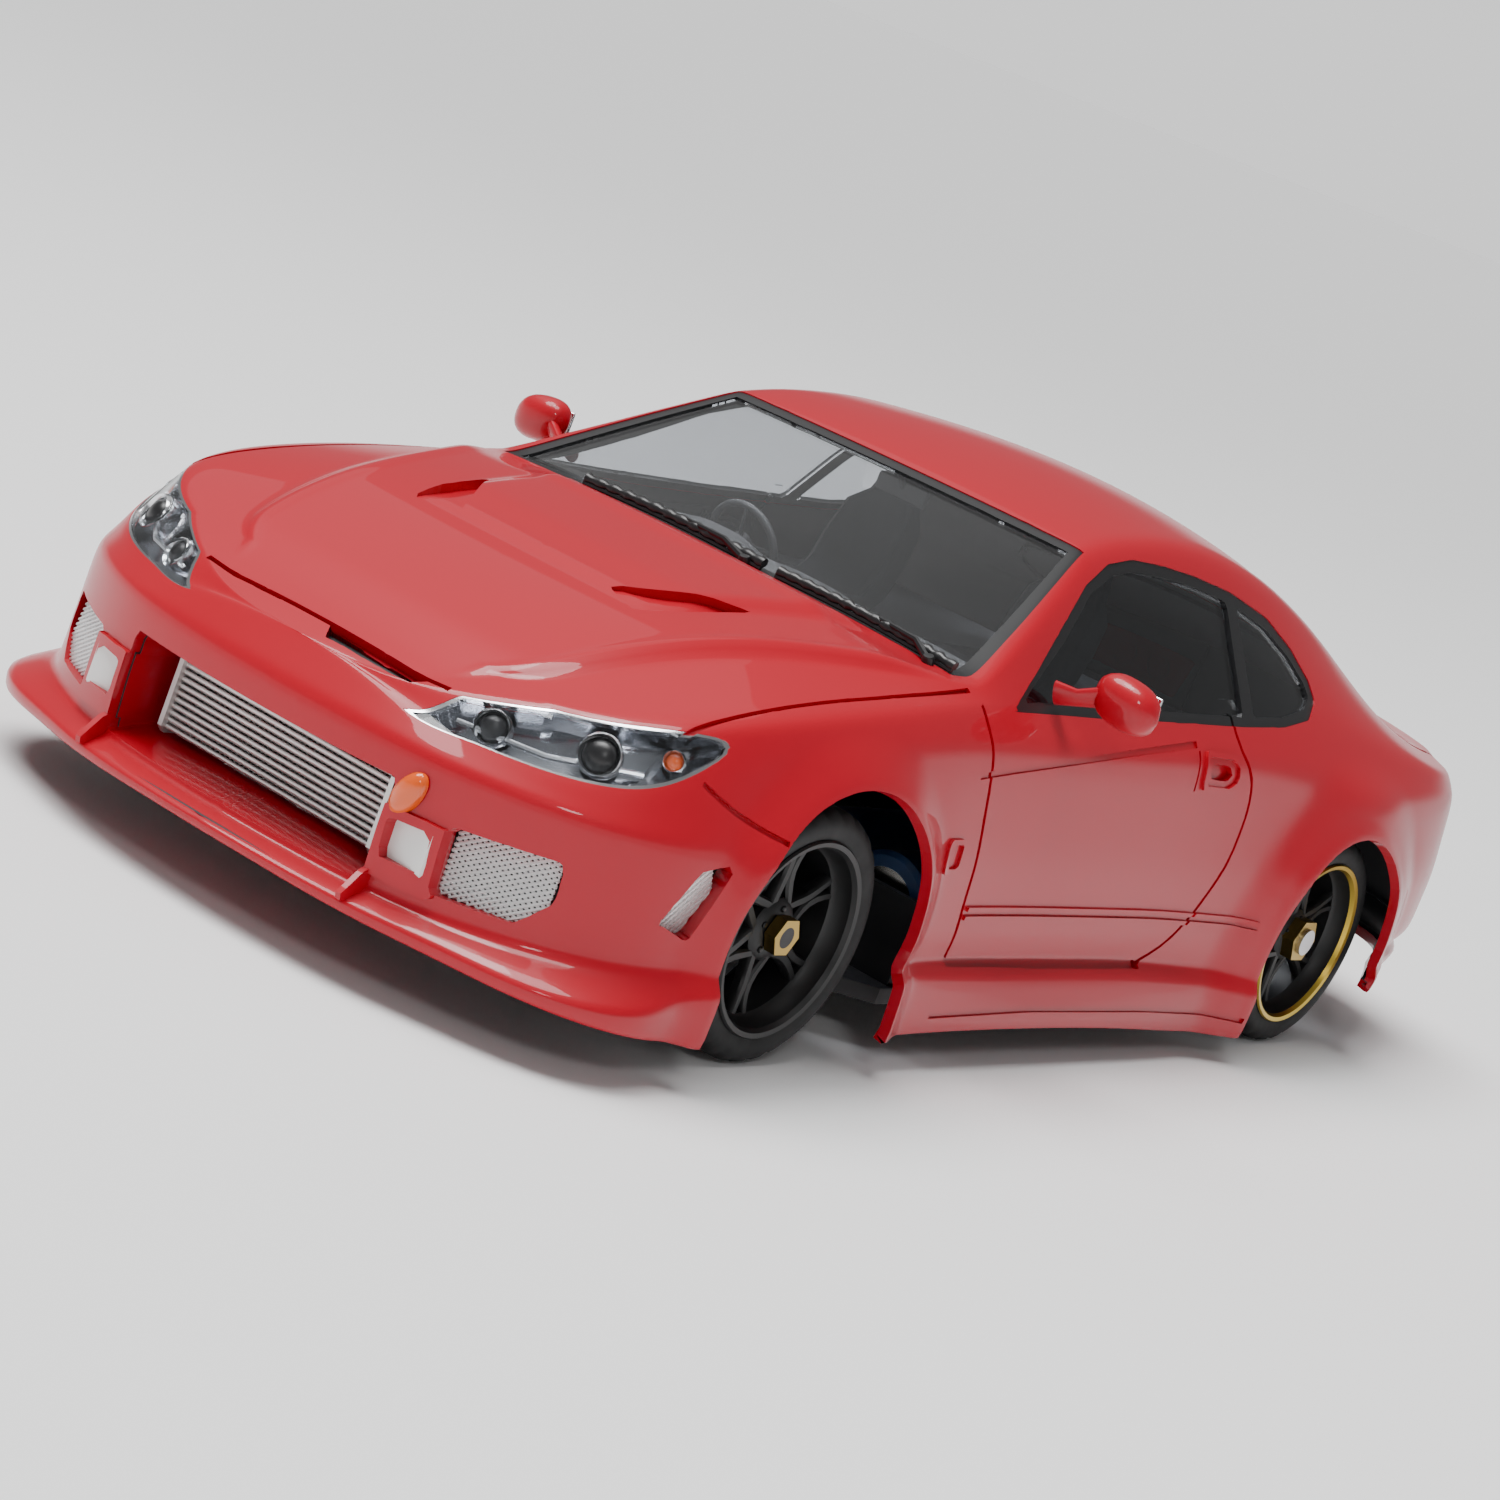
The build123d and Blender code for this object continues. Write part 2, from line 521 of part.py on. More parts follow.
with BuildPart() as post_magnets:
    for x, y in POSTS:
        bar(MAGNET_R, (x, y, POST_TOP), (x, y, POST_TOP + MAGNET_T))
save(post_magnets.part, "post_magnets")

CELL_R = 5.2
CELL_YS = (-24.8, -14.1, 14.1, 24.8)
CELL_Z = DECK_Z + 0.7 + CELL_R

with BuildPart() as battery_trays:
    for sign in (-1, 1):
        y_low, y_high = sorted((sign * 8.4, sign * 30.4))
        block((-20.4, y_low, DECK_Z), (27.0, y_high, DECK_Z + 0.6))
        for x in (-20.4, 26.0):
            block((x, y_low, DECK_Z), (x + 1.0, y_high, 14.0))
save(battery_trays.part, "battery_trays")

with BuildPart() as battery_cells:
    for y in CELL_YS:
        bar(CELL_R, (-19.2, y, CELL_Z), (24.4, y, CELL_Z))
        bar(1.8, (24.4, y, CELL_Z), (25.6, y, CELL_Z))
save(battery_cells.part, "battery_cells")

with BuildPart() as receiver_board:
    block((-17.0, -7.4, 7.2), (25.0, 7.4, 8.4))
    for x in (-15.6, 23.6):
        for y in (-6.0, 6.0):
            bar(1.1, (x, y, DECK_Z), (x, y, 7.2))
    block((-14.0, -5.0, 8.4), (-6.0, 5.0, 10.4))
    block((-2.0, -5.6, 8.4), (4.0, 0.0, 11.4))
    block((8.0, -6.0, 8.4), (20.0, 6.0, 10.0))
    for fin in range(6):
        block((8.6 + 2 * fin, -6.0, 10.0), (9.6 + 2 * fin, 6.0, 13.6))
    block((-2.6, 1.0, 8.4), (5.6, 6.6, 13.0))
save(receiver_board.part, "receiver_board")

with BuildPart() as switch_housing:
    block((28.0, -27.6, DECK_Z), (36.0, -22.6, 9.0))
    block((30.2, -26.0, 7.6), (33.8, -24.2, 9.5), mode=Mode.SUBTRACT)
save(switch_housing.part, "switch_housing")

with BuildPart() as switch_knob:
    block((31.4, -25.8, 7.9), (32.6, -24.4, 10.8))
save(switch_knob.part, "switch_knob")

with BuildPart() as pod_pin:
    bar(PIVOT_R, (PIVOT_X, -19.8, PIVOT_Z), (PIVOT_X, 19.8, PIVOT_Z))
save(pod_pin.part, "pod_pin")

# ---------------------------------------------------------------- the rear pod
BEARING_R = 3.0

with BuildPart() as rear_pod:
    side = [(-23.4, 5.4), (-23.4, 9.4), (-29.0, 21.2), (-56.0, 21.2), (-61.6, 14.0), (-61.6, 5.4)]
    for sign in (-1, 1):
        side_slab(side, *sorted((sign * POD_SIDE[0], sign * POD_SIDE[1])))
    block((-29.8, -14, 5.4), (-28.2, 14, 12.0))
    block((-61.6, -14, 5.4), (-60.0, 14, 9.0))
    block((-60.0, -14, 19.6), (-54.0, 14, 21.2))
    block((-29.8, -2.6, 10.6), (-19.8, 2.6, 12.0))
    bar(PIVOT_R + RUNNING_FIT, (PIVOT_X, -20, PIVOT_Z), (PIVOT_X, 20, PIVOT_Z), mode=Mode.SUBTRACT)
    bar(BEARING_R, (REAR_AXLE_X, -20, AXLE_Z), (REAR_AXLE_X, 20, AXLE_Z), mode=Mode.SUBTRACT)
    bar(3.1, (MOTOR_X, 0, AXLE_Z), (MOTOR_X, 20, AXLE_Z), mode=Mode.SUBTRACT)
    for z in (AXLE_Z - 5, AXLE_Z + 5):
        bar(SCREW_R + RUNNING_FIT, (MOTOR_X, 12, z), (MOTOR_X, 20, z), mode=Mode.SUBTRACT)
save(rear_pod.part, "rear_pod")

with BuildPart() as motor:
    bar(MOTOR_R, (MOTOR_X, -12.6, AXLE_Z), (MOTOR_X, 12.8, AXLE_Z))
    bar(3.0, (MOTOR_X, 12.8, AXLE_Z), (MOTOR_X, 14.4, AXLE_Z))
    bar(0.8, (MOTOR_X, -20, AXLE_Z), (MOTOR_X, 20, AXLE_Z), mode=Mode.SUBTRACT)
    for z in (AXLE_Z - 5, AXLE_Z + 5):
        bar(SCREW_R + RUNNING_FIT, (MOTOR_X, 10, z), (MOTOR_X, 14, z), mode=Mode.SUBTRACT)
save(motor.part, "motor")

with BuildPart() as motor_screws:
    for z in (AXLE_Z - 5, AXLE_Z + 5):
        bar(SCREW_R, (MOTOR_X, 11.0, z), (MOTOR_X, POD_SIDE[1], z))
        bar(1.3, (MOTOR_X, POD_SIDE[1], z), (MOTOR_X, POD_SIDE[1] + 0.8, z))
save(motor_screws.part, "motor_screws")

with BuildPart() as axle_bearings:
    for sign in (-1, 1):
        ends = [(REAR_AXLE_X, sign * y, AXLE_Z) for y in POD_SIDE]
        bar(BEARING_R - 0.01, *ends)
        bar(AXLE_R + RUNNING_FIT, *ends, mode=Mode.SUBTRACT)
save(axle_bearings.part, "axle_bearings")

save(Pos(-21.5, 0, DECK_Z + 0.3) * coil_spring(1.3, 0.25, 1.1, 4.4), "pod_spring")


# ---------------------------------------------------------------- the drive
def gear_outline(teeth, tip, root, first_tooth, thinning):
    """Involute teeth with a 20 degree pressure angle, thinned for backlash, as (x, z) points."""
    pitch_r = MODULE * teeth / 2
    base_r = pitch_r * math.cos(math.radians(20))
    half_at_pitch = math.pi / (2 * teeth) - thinning / (2 * pitch_r)
    involute_at_pitch = math.tan(math.radians(20)) - math.radians(20)
    flank = []
    for step in range(6):
        radius = max(base_r, root) + (tip - max(base_r, root)) * step / 5
        pressure = math.acos(min(1.0, base_r / radius))
        flank.append((radius, half_at_pitch + involute_at_pitch - math.tan(pressure) + pressure))
    if root < base_r:
        flank.insert(0, (root, flank[0][1]))
    points = []
    for tooth in range(teeth):
        middle = first_tooth + 2 * math.pi * tooth / teeth
        polar = [(r, middle - a) for r, a in flank] + [(r, middle + a) for r, a in reversed(flank)]
        points += [(r * math.cos(a), r * math.sin(a)) for r, a in polar]
    return points


def gear(x, teeth, tip, root, first_tooth):
    outline = gear_outline(teeth, tip, root, first_tooth, 0.1)
    side_slab([(x + u, AXLE_Z + v) for u, v in outline], *GEAR_Y)


with BuildPart() as rear_axle:
    bar(AXLE_R, (REAR_AXLE_X, -34.6, AXLE_Z), (REAR_AXLE_X, 34.6, AXLE_Z))
    for y in (15.5, -16.3):
        bar(2.2, (REAR_AXLE_X, y, AXLE_Z), (REAR_AXLE_X, y + 0.8, AXLE_Z))
save(rear_axle.part, "rear_axle")

with BuildPart() as spur_gear:
    gear(REAR_AXLE_X, SPUR_TEETH, 9.4, 8.4, 0.0)
    bar(4.0, (REAR_AXLE_X, GEAR_Y[1], AXLE_Z), (REAR_AXLE_X, 24.0, AXLE_Z))
    bar(AXLE_R, (REAR_AXLE_X, 0, AXLE_Z), (REAR_AXLE_X, 30, AXLE_Z), mode=Mode.SUBTRACT)
save(spur_gear.part, "spur_gear")

with BuildPart() as rear_nuts:
    for sign in (-1, 1):
        with BuildSketch(Plane.XZ.offset(-sign * 32.6)) as hexagon:
            with Locations((REAR_AXLE_X, AXLE_Z)):
                RegularPolygon(2.6, 6)
                Circle(AXLE_R, mode=Mode.SUBTRACT)
        extrude(hexagon.sketch, amount=1.6, dir=(0, sign, 0))
save(rear_nuts.part, "rear_nuts")

with BuildPart() as motor_pinion:
    gear(MOTOR_X, PINION_TEETH, 3.4, 2.4, math.pi / PINION_TEETH)
    bar(0.75, (MOTOR_X, -12.9, AXLE_Z), (MOTOR_X, 19.4, AXLE_Z))
save(motor_pinion.part, "motor_pinion")
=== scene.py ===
"""Looks of the radio-controlled drift car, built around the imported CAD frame.

The painted body is one skin per side, laid out in millimetres from a few feature lines, then cut along
its shut lines and openings. Everything rides on the CAD body named beside it.
"""

import json
import math
import random

import bmesh
import bpy
import numpy as np
from mathutils import Matrix, Vector

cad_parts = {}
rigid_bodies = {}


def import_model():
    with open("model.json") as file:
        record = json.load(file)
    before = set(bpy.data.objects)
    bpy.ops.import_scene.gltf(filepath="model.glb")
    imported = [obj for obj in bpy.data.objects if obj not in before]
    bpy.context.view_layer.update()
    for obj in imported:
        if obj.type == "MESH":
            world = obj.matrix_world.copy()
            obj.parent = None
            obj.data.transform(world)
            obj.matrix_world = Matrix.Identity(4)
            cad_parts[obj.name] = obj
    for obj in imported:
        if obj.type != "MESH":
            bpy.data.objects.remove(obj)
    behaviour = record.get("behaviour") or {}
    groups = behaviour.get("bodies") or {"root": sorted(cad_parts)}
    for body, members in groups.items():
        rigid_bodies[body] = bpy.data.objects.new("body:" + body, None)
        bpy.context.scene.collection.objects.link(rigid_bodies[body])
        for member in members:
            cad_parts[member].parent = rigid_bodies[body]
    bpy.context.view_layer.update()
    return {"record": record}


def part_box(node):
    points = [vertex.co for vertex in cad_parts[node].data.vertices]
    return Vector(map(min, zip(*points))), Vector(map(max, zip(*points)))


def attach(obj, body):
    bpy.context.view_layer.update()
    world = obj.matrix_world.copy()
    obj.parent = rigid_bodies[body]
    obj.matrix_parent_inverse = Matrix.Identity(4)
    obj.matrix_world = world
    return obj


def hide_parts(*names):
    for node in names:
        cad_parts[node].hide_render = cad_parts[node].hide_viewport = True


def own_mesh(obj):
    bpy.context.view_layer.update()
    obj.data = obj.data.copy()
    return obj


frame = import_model()
MM = 0.001

SIDES = (-1, 1)  # right, left


def limits(node):
    """A CAD node's box in millimetres: its middle, its low corner and its high corner."""
    low, high = (np.array(corner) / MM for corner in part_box(node))
    return (low + high) / 2, low, high


def circle(count, turns=1.0, start=0.0):
    """The cosine and sine of evenly spaced angles; a full turn leaves out the last point."""
    angles = [start + turns * 2 * math.pi * k / count for k in range(count)]
    return [(math.cos(a), math.sin(a)) for a in angles]


def into_scene(name, data):
    made = bpy.data.objects.new(name, data)
    bpy.context.scene.collection.objects.link(made)
    return made


# ---------------------------------------------------------------- the body's feature lines, in mm
# Along the top, as (x, value): the centre line's height, then the crease and the fender top as (x, y, z).
CENTRE_LINE = [
    (89, 24.2), (86, 25.6), (80, 28.2), (70, 31.8), (60, 34), (50, 35.2), (40, 36.2), (34.2, 36.8),
    (31, 38), (20, 43.2), (8.6, 48.6), (5, 49.6), (-2, 50.9), (-8, 51.8), (-16, 52.3), (-26, 51.9),
    (-36, 50.2), (-44, 48), (-52, 45), (-60, 41.4), (-68, 37.7), (-76, 35.4), (-83, 33.9), (-88, 33.4),
    (-91.8, 33.8),
]
CREASE_LINE = [
    (89, 0, 24.2), (88.6, 8, 24), (87, 12.6, 24.7), (84, 15.4, 26.2), (78, 17.4, 28.7), (70, 19.2, 31.7),
    (62, 20.9, 33.7), (54, 23, 34.8), (44, 26.2, 35.6), (36, 29, 35.9), (31, 30.2, 36), (20, 26.9, 42),
    (8, 23, 48.3), (0, 22.2, 49.9), (-10, 21.9, 50.6), (-22, 22.1, 50.1), (-34, 22.4, 48),
    (-46, 22.9, 44.5), (-58, 23.6, 39.6), (-66, 24.2, 36.3), (-74, 25, 34), (-82, 25, 32.6),
    (-88, 23.4, 32.4), (-91.8, 21, 32.7),
]
FENDER_LINE = [
    (89, 0, 24.2), (88.6, 9.6, 23.9), (87.4, 14.2, 24.6), (86, 17, 25.5), (84, 20.6, 26.4),
    (81, 25.6, 27.8), (77.6, 29.6, 28.9), (72, 31.8, 30.3), (64, 32.7, 31.7), (54, 33.1, 33),
    (42, 32.8, 34), (31, 32, 34.5), (20, 31.8, 34.4), (0, 31.7, 34.9), (-20, 31.6, 36), (-34, 31.6, 36.2),
    (-46, 31.6, 35.7), (-58, 31.8, 34.5), (-70, 32, 32.8), (-80, 30.6, 31.7), (-88, 26.2, 31.2),
    (-91.8, 21.6, 31.2),
]
# Round the side from the front centre to the rear centre. Each station gives the seam under the top skin
# (x, y, z), the widest point in plan (x, y), then outward steps and heights of the fold above the lip or
# skirt, of its edge and of its underside.
STATIONS = [
    ((89, 0, 24.2), (91.7, 0), (-0.6, 8.2), (1.9, 7.1), (1.7, 6.2)),
    ((88.9, 5.5, 24.1), (91.5, 6), (-0.6, 8.2), (1.9, 7.1), (1.7, 6.2)),
    ((88.7, 10.4, 23.7), (90.9, 12), (-0.6, 8.2), (1.9, 7), (1.7, 6)),
    ((88.2, 15.2, 22.7), (89.6, 18), (-0.5, 8.2), (1.9, 6.9), (1.7, 5.8)),
    ((86.4, 20.8, 22.6), (87.2, 23.6), (-0.3, 8.4), (2, 6.8), (1.8, 5.6)),
    ((83.8, 26, 22.7), (84, 28.8), (0, 8.7), (3.4, 6.6), (3.1, 5.3)),
    ((80.6, 30, 23.2), (80.2, 32.6), (0, 9), (4.3, 6.7), (4, 5)),
    ((77.4, 32.2, 24.3), (76, 35), (0.1, 9.4), (3.9, 6.9), (3.7, 4.6)),
    ((74, 33, 25.9), (72, 36), (0.1, 9.8), (1.7, 8), (1.7, 4)),
    ((70.6, 33.3, 27.5), (68.4, 36.5), (0.1, 10.2), (0.9, 8.8), (0.9, 3.6)),
    ((66, 34, 28.6), (65, 36.8), (0.1, 10.4), (0.7, 9), (0.6, 3.4)),
    ((60, 34.6, 29.4), (60, 37), (0, 10.4), (0.5, 9), (0.4, 3.4)),
    ((54, 34.9, 30), (54, 37), (0, 10.4), (0.5, 9), (0.4, 3.4)),
    ((46, 34.9, 30.6), (46, 36.8), (0, 10.4), (0.5, 9), (0.4, 3.3)),
    ((38, 34.6, 31), (38, 36.2), (-0.4, 10.5), (0.6, 9.2), (0.9, 3.3)),
    ((30, 34.3, 31.2), (30, 35.5), (-0.7, 10.4), (0.8, 9), (1.6, 3.6)),
    ((18, 34.2, 31.2), (18, 35.2), (-0.8, 10.3), (0.9, 8.9), (2, 3.8)),
    ((4, 34.2, 31.4), (4, 35.2), (-0.8, 10.3), (0.9, 8.9), (2.1, 3.8)),
    ((-10, 34.3, 31.7), (-10, 35.3), (-0.8, 10.2), (0.9, 8.8), (2, 3.5)),
    ((-20, 34.4, 31.8), (-20, 35.6), (-0.6, 9.8), (0.8, 8.4), (1.7, 3)),
    ((-28, 34.6, 31.6), (-28, 36.1), (-0.2, 9.8), (1, 8), (0.8, 2.6)),
    ((-36, 34.9, 31.2), (-36, 36.7), (0, 9.4), (0.6, 7.6), (0.4, 2.6)),
    ((-44, 35.1, 30.7), (-44, 37), (0, 9), (0.5, 7.2), (0.3, 3.4)),
    ((-52, 35.1, 30.2), (-52, 37.1), (0, 9), (0.5, 7.2), (0.3, 4.2)),
    ((-57.5, 34.9, 29.9), (-57.5, 37), (0, 9), (0.5, 7.2), (0.3, 4.8)),
    ((-62, 34.7, 29.7), (-62, 36.8), (0, 11.9), (0.4, 10.7), (0.2, 9.2)),
    ((-68, 34.2, 29.6), (-68, 36.2), (-0.5, 12.1), (0.2, 10.9), (-0.2, 9.5)),
    ((-76, 33.2, 29.4), (-76, 34.6), (-1.1, 12), (-0.4, 10.8), (-1, 9.2)),
    ((-83, 30.8, 29.2), (-83.4, 31.8), (-1.5, 11.8), (-0.8, 10.5), (-1.5, 8.8)),
    ((-88.4, 26.2, 29), (-88.8, 26.9), (-1.7, 11.6), (-0.9, 10.2), (-1.7, 8.5)),
    ((-91, 20, 28.8), (-91.3, 20), (-1.7, 11.6), (-0.9, 10.2), (-1.7, 8.5)),
    ((-91.9, 10.5, 28.6), (-92, 11), (-1.7, 11.6), (-0.9, 10.2), (-1.7, 8.5)),
    ((-92.1, 0, 28.6), (-92.2, 0), (-1.7, 11.6), (-0.9, 10.2), (-1.7, 8.5)),
]
WIDE_Z, WAIST_Z = 20.5, 13.5
WALL = 1.1  # the painted shell's thickness
FRONT_ARCH = (52.9, 12.2, 15.2)  # centre x, centre z and radius
REAR_ARCH = (-47.8, 11.8, 14.2)

# ---------------------------------------------------------------- smoothing helpers
REACH = np.linspace(-2.5, 2.5, 21)
WEIGHT = np.exp(-(REACH**2) / 2)
WEIGHT /= WEIGHT.sum()


def step(edge_a, edge_b, value):
    """0 at edge_a and before, 1 at edge_b and after, smooth in between."""
    share = np.clip((np.asarray(value, float) - edge_a) / (edge_b - edge_a), 0, 1)
    return share * share * (3 - 2 * share)


def follow(places, values, at, blur):
    """A line through points, with its corners rounded over the given length."""
    order = np.argsort(places)
    px, pv = np.asarray(places, float)[order], np.asarray(values, float)[order]
    slopes = (pv[1] - pv[0]) / (px[1] - px[0]), (pv[-1] - pv[-2]) / (px[-1] - px[-2])
    px = np.concatenate([[px[0] - 30], px, [px[-1] + 30]])
    pv = np.concatenate([[pv[0] - 30 * slopes[0]], pv, [pv[-1] + 30 * slopes[1]]])
    at, blur = np.broadcast_arrays(np.asarray(at, float), np.asarray(blur, float))
    return (np.interp(at[..., None] + blur[..., None] * REACH, px, pv) * WEIGHT).sum(-1)


def top_blur(x):
    """How far corners are rounded along the car: little at the cowl, the windscreen's top and the nose."""
    sharp = np.minimum(np.abs(x - 32.6), np.abs(x - 8.3) * 0.6 + 1)
    return np.clip(0.5 + sharp * 0.45, 0.5, 4.2) * np.clip((89.6 - x) / 8, 0.06, 1)


def along_top(points, x):
    places = [p[0] for p in points]
    return [follow(places, [p[k] for p in points], x, top_blur(x)) for k in range(1, len(points[0]))]


def run_along(points):
    """Each point's distance along the line through them."""
    return np.concatenate([[0], np.cumsum(np.linalg.norm(np.diff(points, axis=0), axis=1))])


def side_lines(count):
    """The side's feature lines at evenly spaced columns, and each column's distance round the car."""
    front, back = STATIONS[1:4], STATIONS[-4:-1]  # mirrored past each end, so lines cross the middle smoothly
    rows = [(s, -1) for s in front[::-1]] + [(s, 1) for s in STATIONS] + [(s, -1) for s in back[::-1]]
    seam = np.array([(s[0][0], sign * s[0][1], s[0][2]) for s, sign in rows])
    plan = np.array([(s[1][0], sign * s[1][1]) for s, sign in rows])
    steps = np.array([[v for pair in s[2:] for v in pair] for s, _ in rows])
    run = run_along(plan)
    run -= run[len(front)]
    end = run[-len(back) - 1]
    at = np.linspace(0, end, count)
    blur = 2.6 + 1.6 * step(40, 60, at) - 1.4 * step(end - 45, end - 25, at)

    seam, plan, steps = (
        np.stack([follow(run, column, at, blur) for column in values.T], axis=1)
        for values in (seam, plan, steps)
    )
    for values in (seam, plan):
        values[0, 1] = values[-1, 1] = 0
    way = np.gradient(plan, axis=0)
    way /= np.linalg.norm(way, axis=1)[:, None]
    outward = np.stack([way[:, 1], -way[:, 0]], axis=1)
    outward[0], outward[-1] = (1, 0), (-1, 0)
    return at, seam, plan, steps, outward


# ---------------------------------------------------------------- the skin: a triangle mesh that can be cut
def signed_distance(outline, at, rounding=0.0):
    """Distance in a plane from points to a closed outline, negative inside, with its corners rounded."""
    outline = np.asarray(outline, float)
    best = np.full(len(at), 1e9)
    inside = np.zeros(len(at), bool)
    for a, b in zip(outline, np.roll(outline, -1, axis=0)):
        edge, to_point = b - a, at - a
        share = np.clip((to_point @ edge) / (edge @ edge), 0, 1)
        best = np.minimum(best, np.linalg.norm(to_point - share[:, None] * edge, axis=1))
        crosses = (a[1] > at[:, 1]) != (b[1] > at[:, 1])
        with np.errstate(divide="ignore", invalid="ignore"):
            inside ^= crosses & (at[:, 0] < edge[0] * (at[:, 1] - a[1]) / edge[1] + a[0])
    return np.where(inside, -best, best) - rounding


def line_distance(line, at):
    """Signed distance from points to an open line of straight runs, positive on its left."""
    line = np.asarray(line, float)
    best, side = np.full(len(at), 1e9), np.ones(len(at))
    last = len(line) - 2
    for k, (a, b) in enumerate(zip(line[:-1], line[1:])):
        edge, to_point = b - a, at - a
        share = to_point @ edge / (edge @ edge)
        share = np.clip(share, None if k == 0 else 0, None if k == last else 1)
        away = np.linalg.norm(to_point - share[:, None] * edge, axis=1)
        left = np.sign(edge[0] * to_point[:, 1] - edge[1] * to_point[:, 0])
        side = np.where(away < best - 1e-9, left, side)
        best = np.minimum(best, away)
    return best * side


def rounded_line(points):
    """A line through points with its corners rounded, as points about two millimetres apart."""
    points = np.asarray(points, float)
    run = run_along(points)
    at = np.linspace(0, run[-1], int(run[-1] / 2) + 2)
    return np.stack([follow(run, column, at, 1.2) for column in points.T], axis=1)


def unit(vectors):
    length = np.linalg.norm(vectors, axis=-1, keepdims=True)
    return vectors / np.where(length < 1e-12, 1, length)


def vertex_normals(points, tris):
    corners = points[tris]
    faces = np.cross(corners[:, 1] - corners[:, 0], corners[:, 2] - corners[:, 0])
    total = np.zeros_like(points)
    for k in range(3):
        np.add.at(total, tris[:, k], faces)
    return unit(total)


def rim_edges(points, tris):
    """The directed edges used by one triangle only, counting points at one place as one."""
    used, back = np.unique(tris, return_inverse=True)
    places = np.round(points[used] * 1e4).astype(np.int64) + 2**20
    _, same = np.unique((places[:, 0] * 2**21 + places[:, 1]) * 2**21 + places[:, 2], return_inverse=True)
    corners = same.reshape(-1)[back.reshape(tris.shape)]
    edges = np.concatenate([tris[:, [0, 1]], tris[:, [1, 2]], tris[:, [2, 0]]])
    key = np.concatenate([corners[:, [0, 1]], corners[:, [1, 2]], corners[:, [2, 0]]])
    key.sort(axis=1)
    _, first, count = np.unique(key[:, 0] * len(used) + key[:, 1], return_index=True, return_counts=True)
    alone = first[(count == 1) & (key[first, 0] != key[first, 1])]
    return edges[alone]


def bands(top, bottom, start):
    """Quads, as triangles with flat normals, between matching directed edges (n, 2, 3)."""
    a, b, c, d = top[:, 0], top[:, 1], bottom[:, 1], bottom[:, 0]
    normal = unit(np.cross(b - a, c - a) + np.cross(c - a, d - a))
    points = np.stack([a, b, c, d], axis=1).reshape(-1, 3)
    index = start + 4 * np.arange(len(a))[:, None]
    tris = np.concatenate([index + [0, 1, 2], index + [0, 2, 3]])
    return points, np.repeat(normal, 4, axis=0), tris


SNAP = 0.05


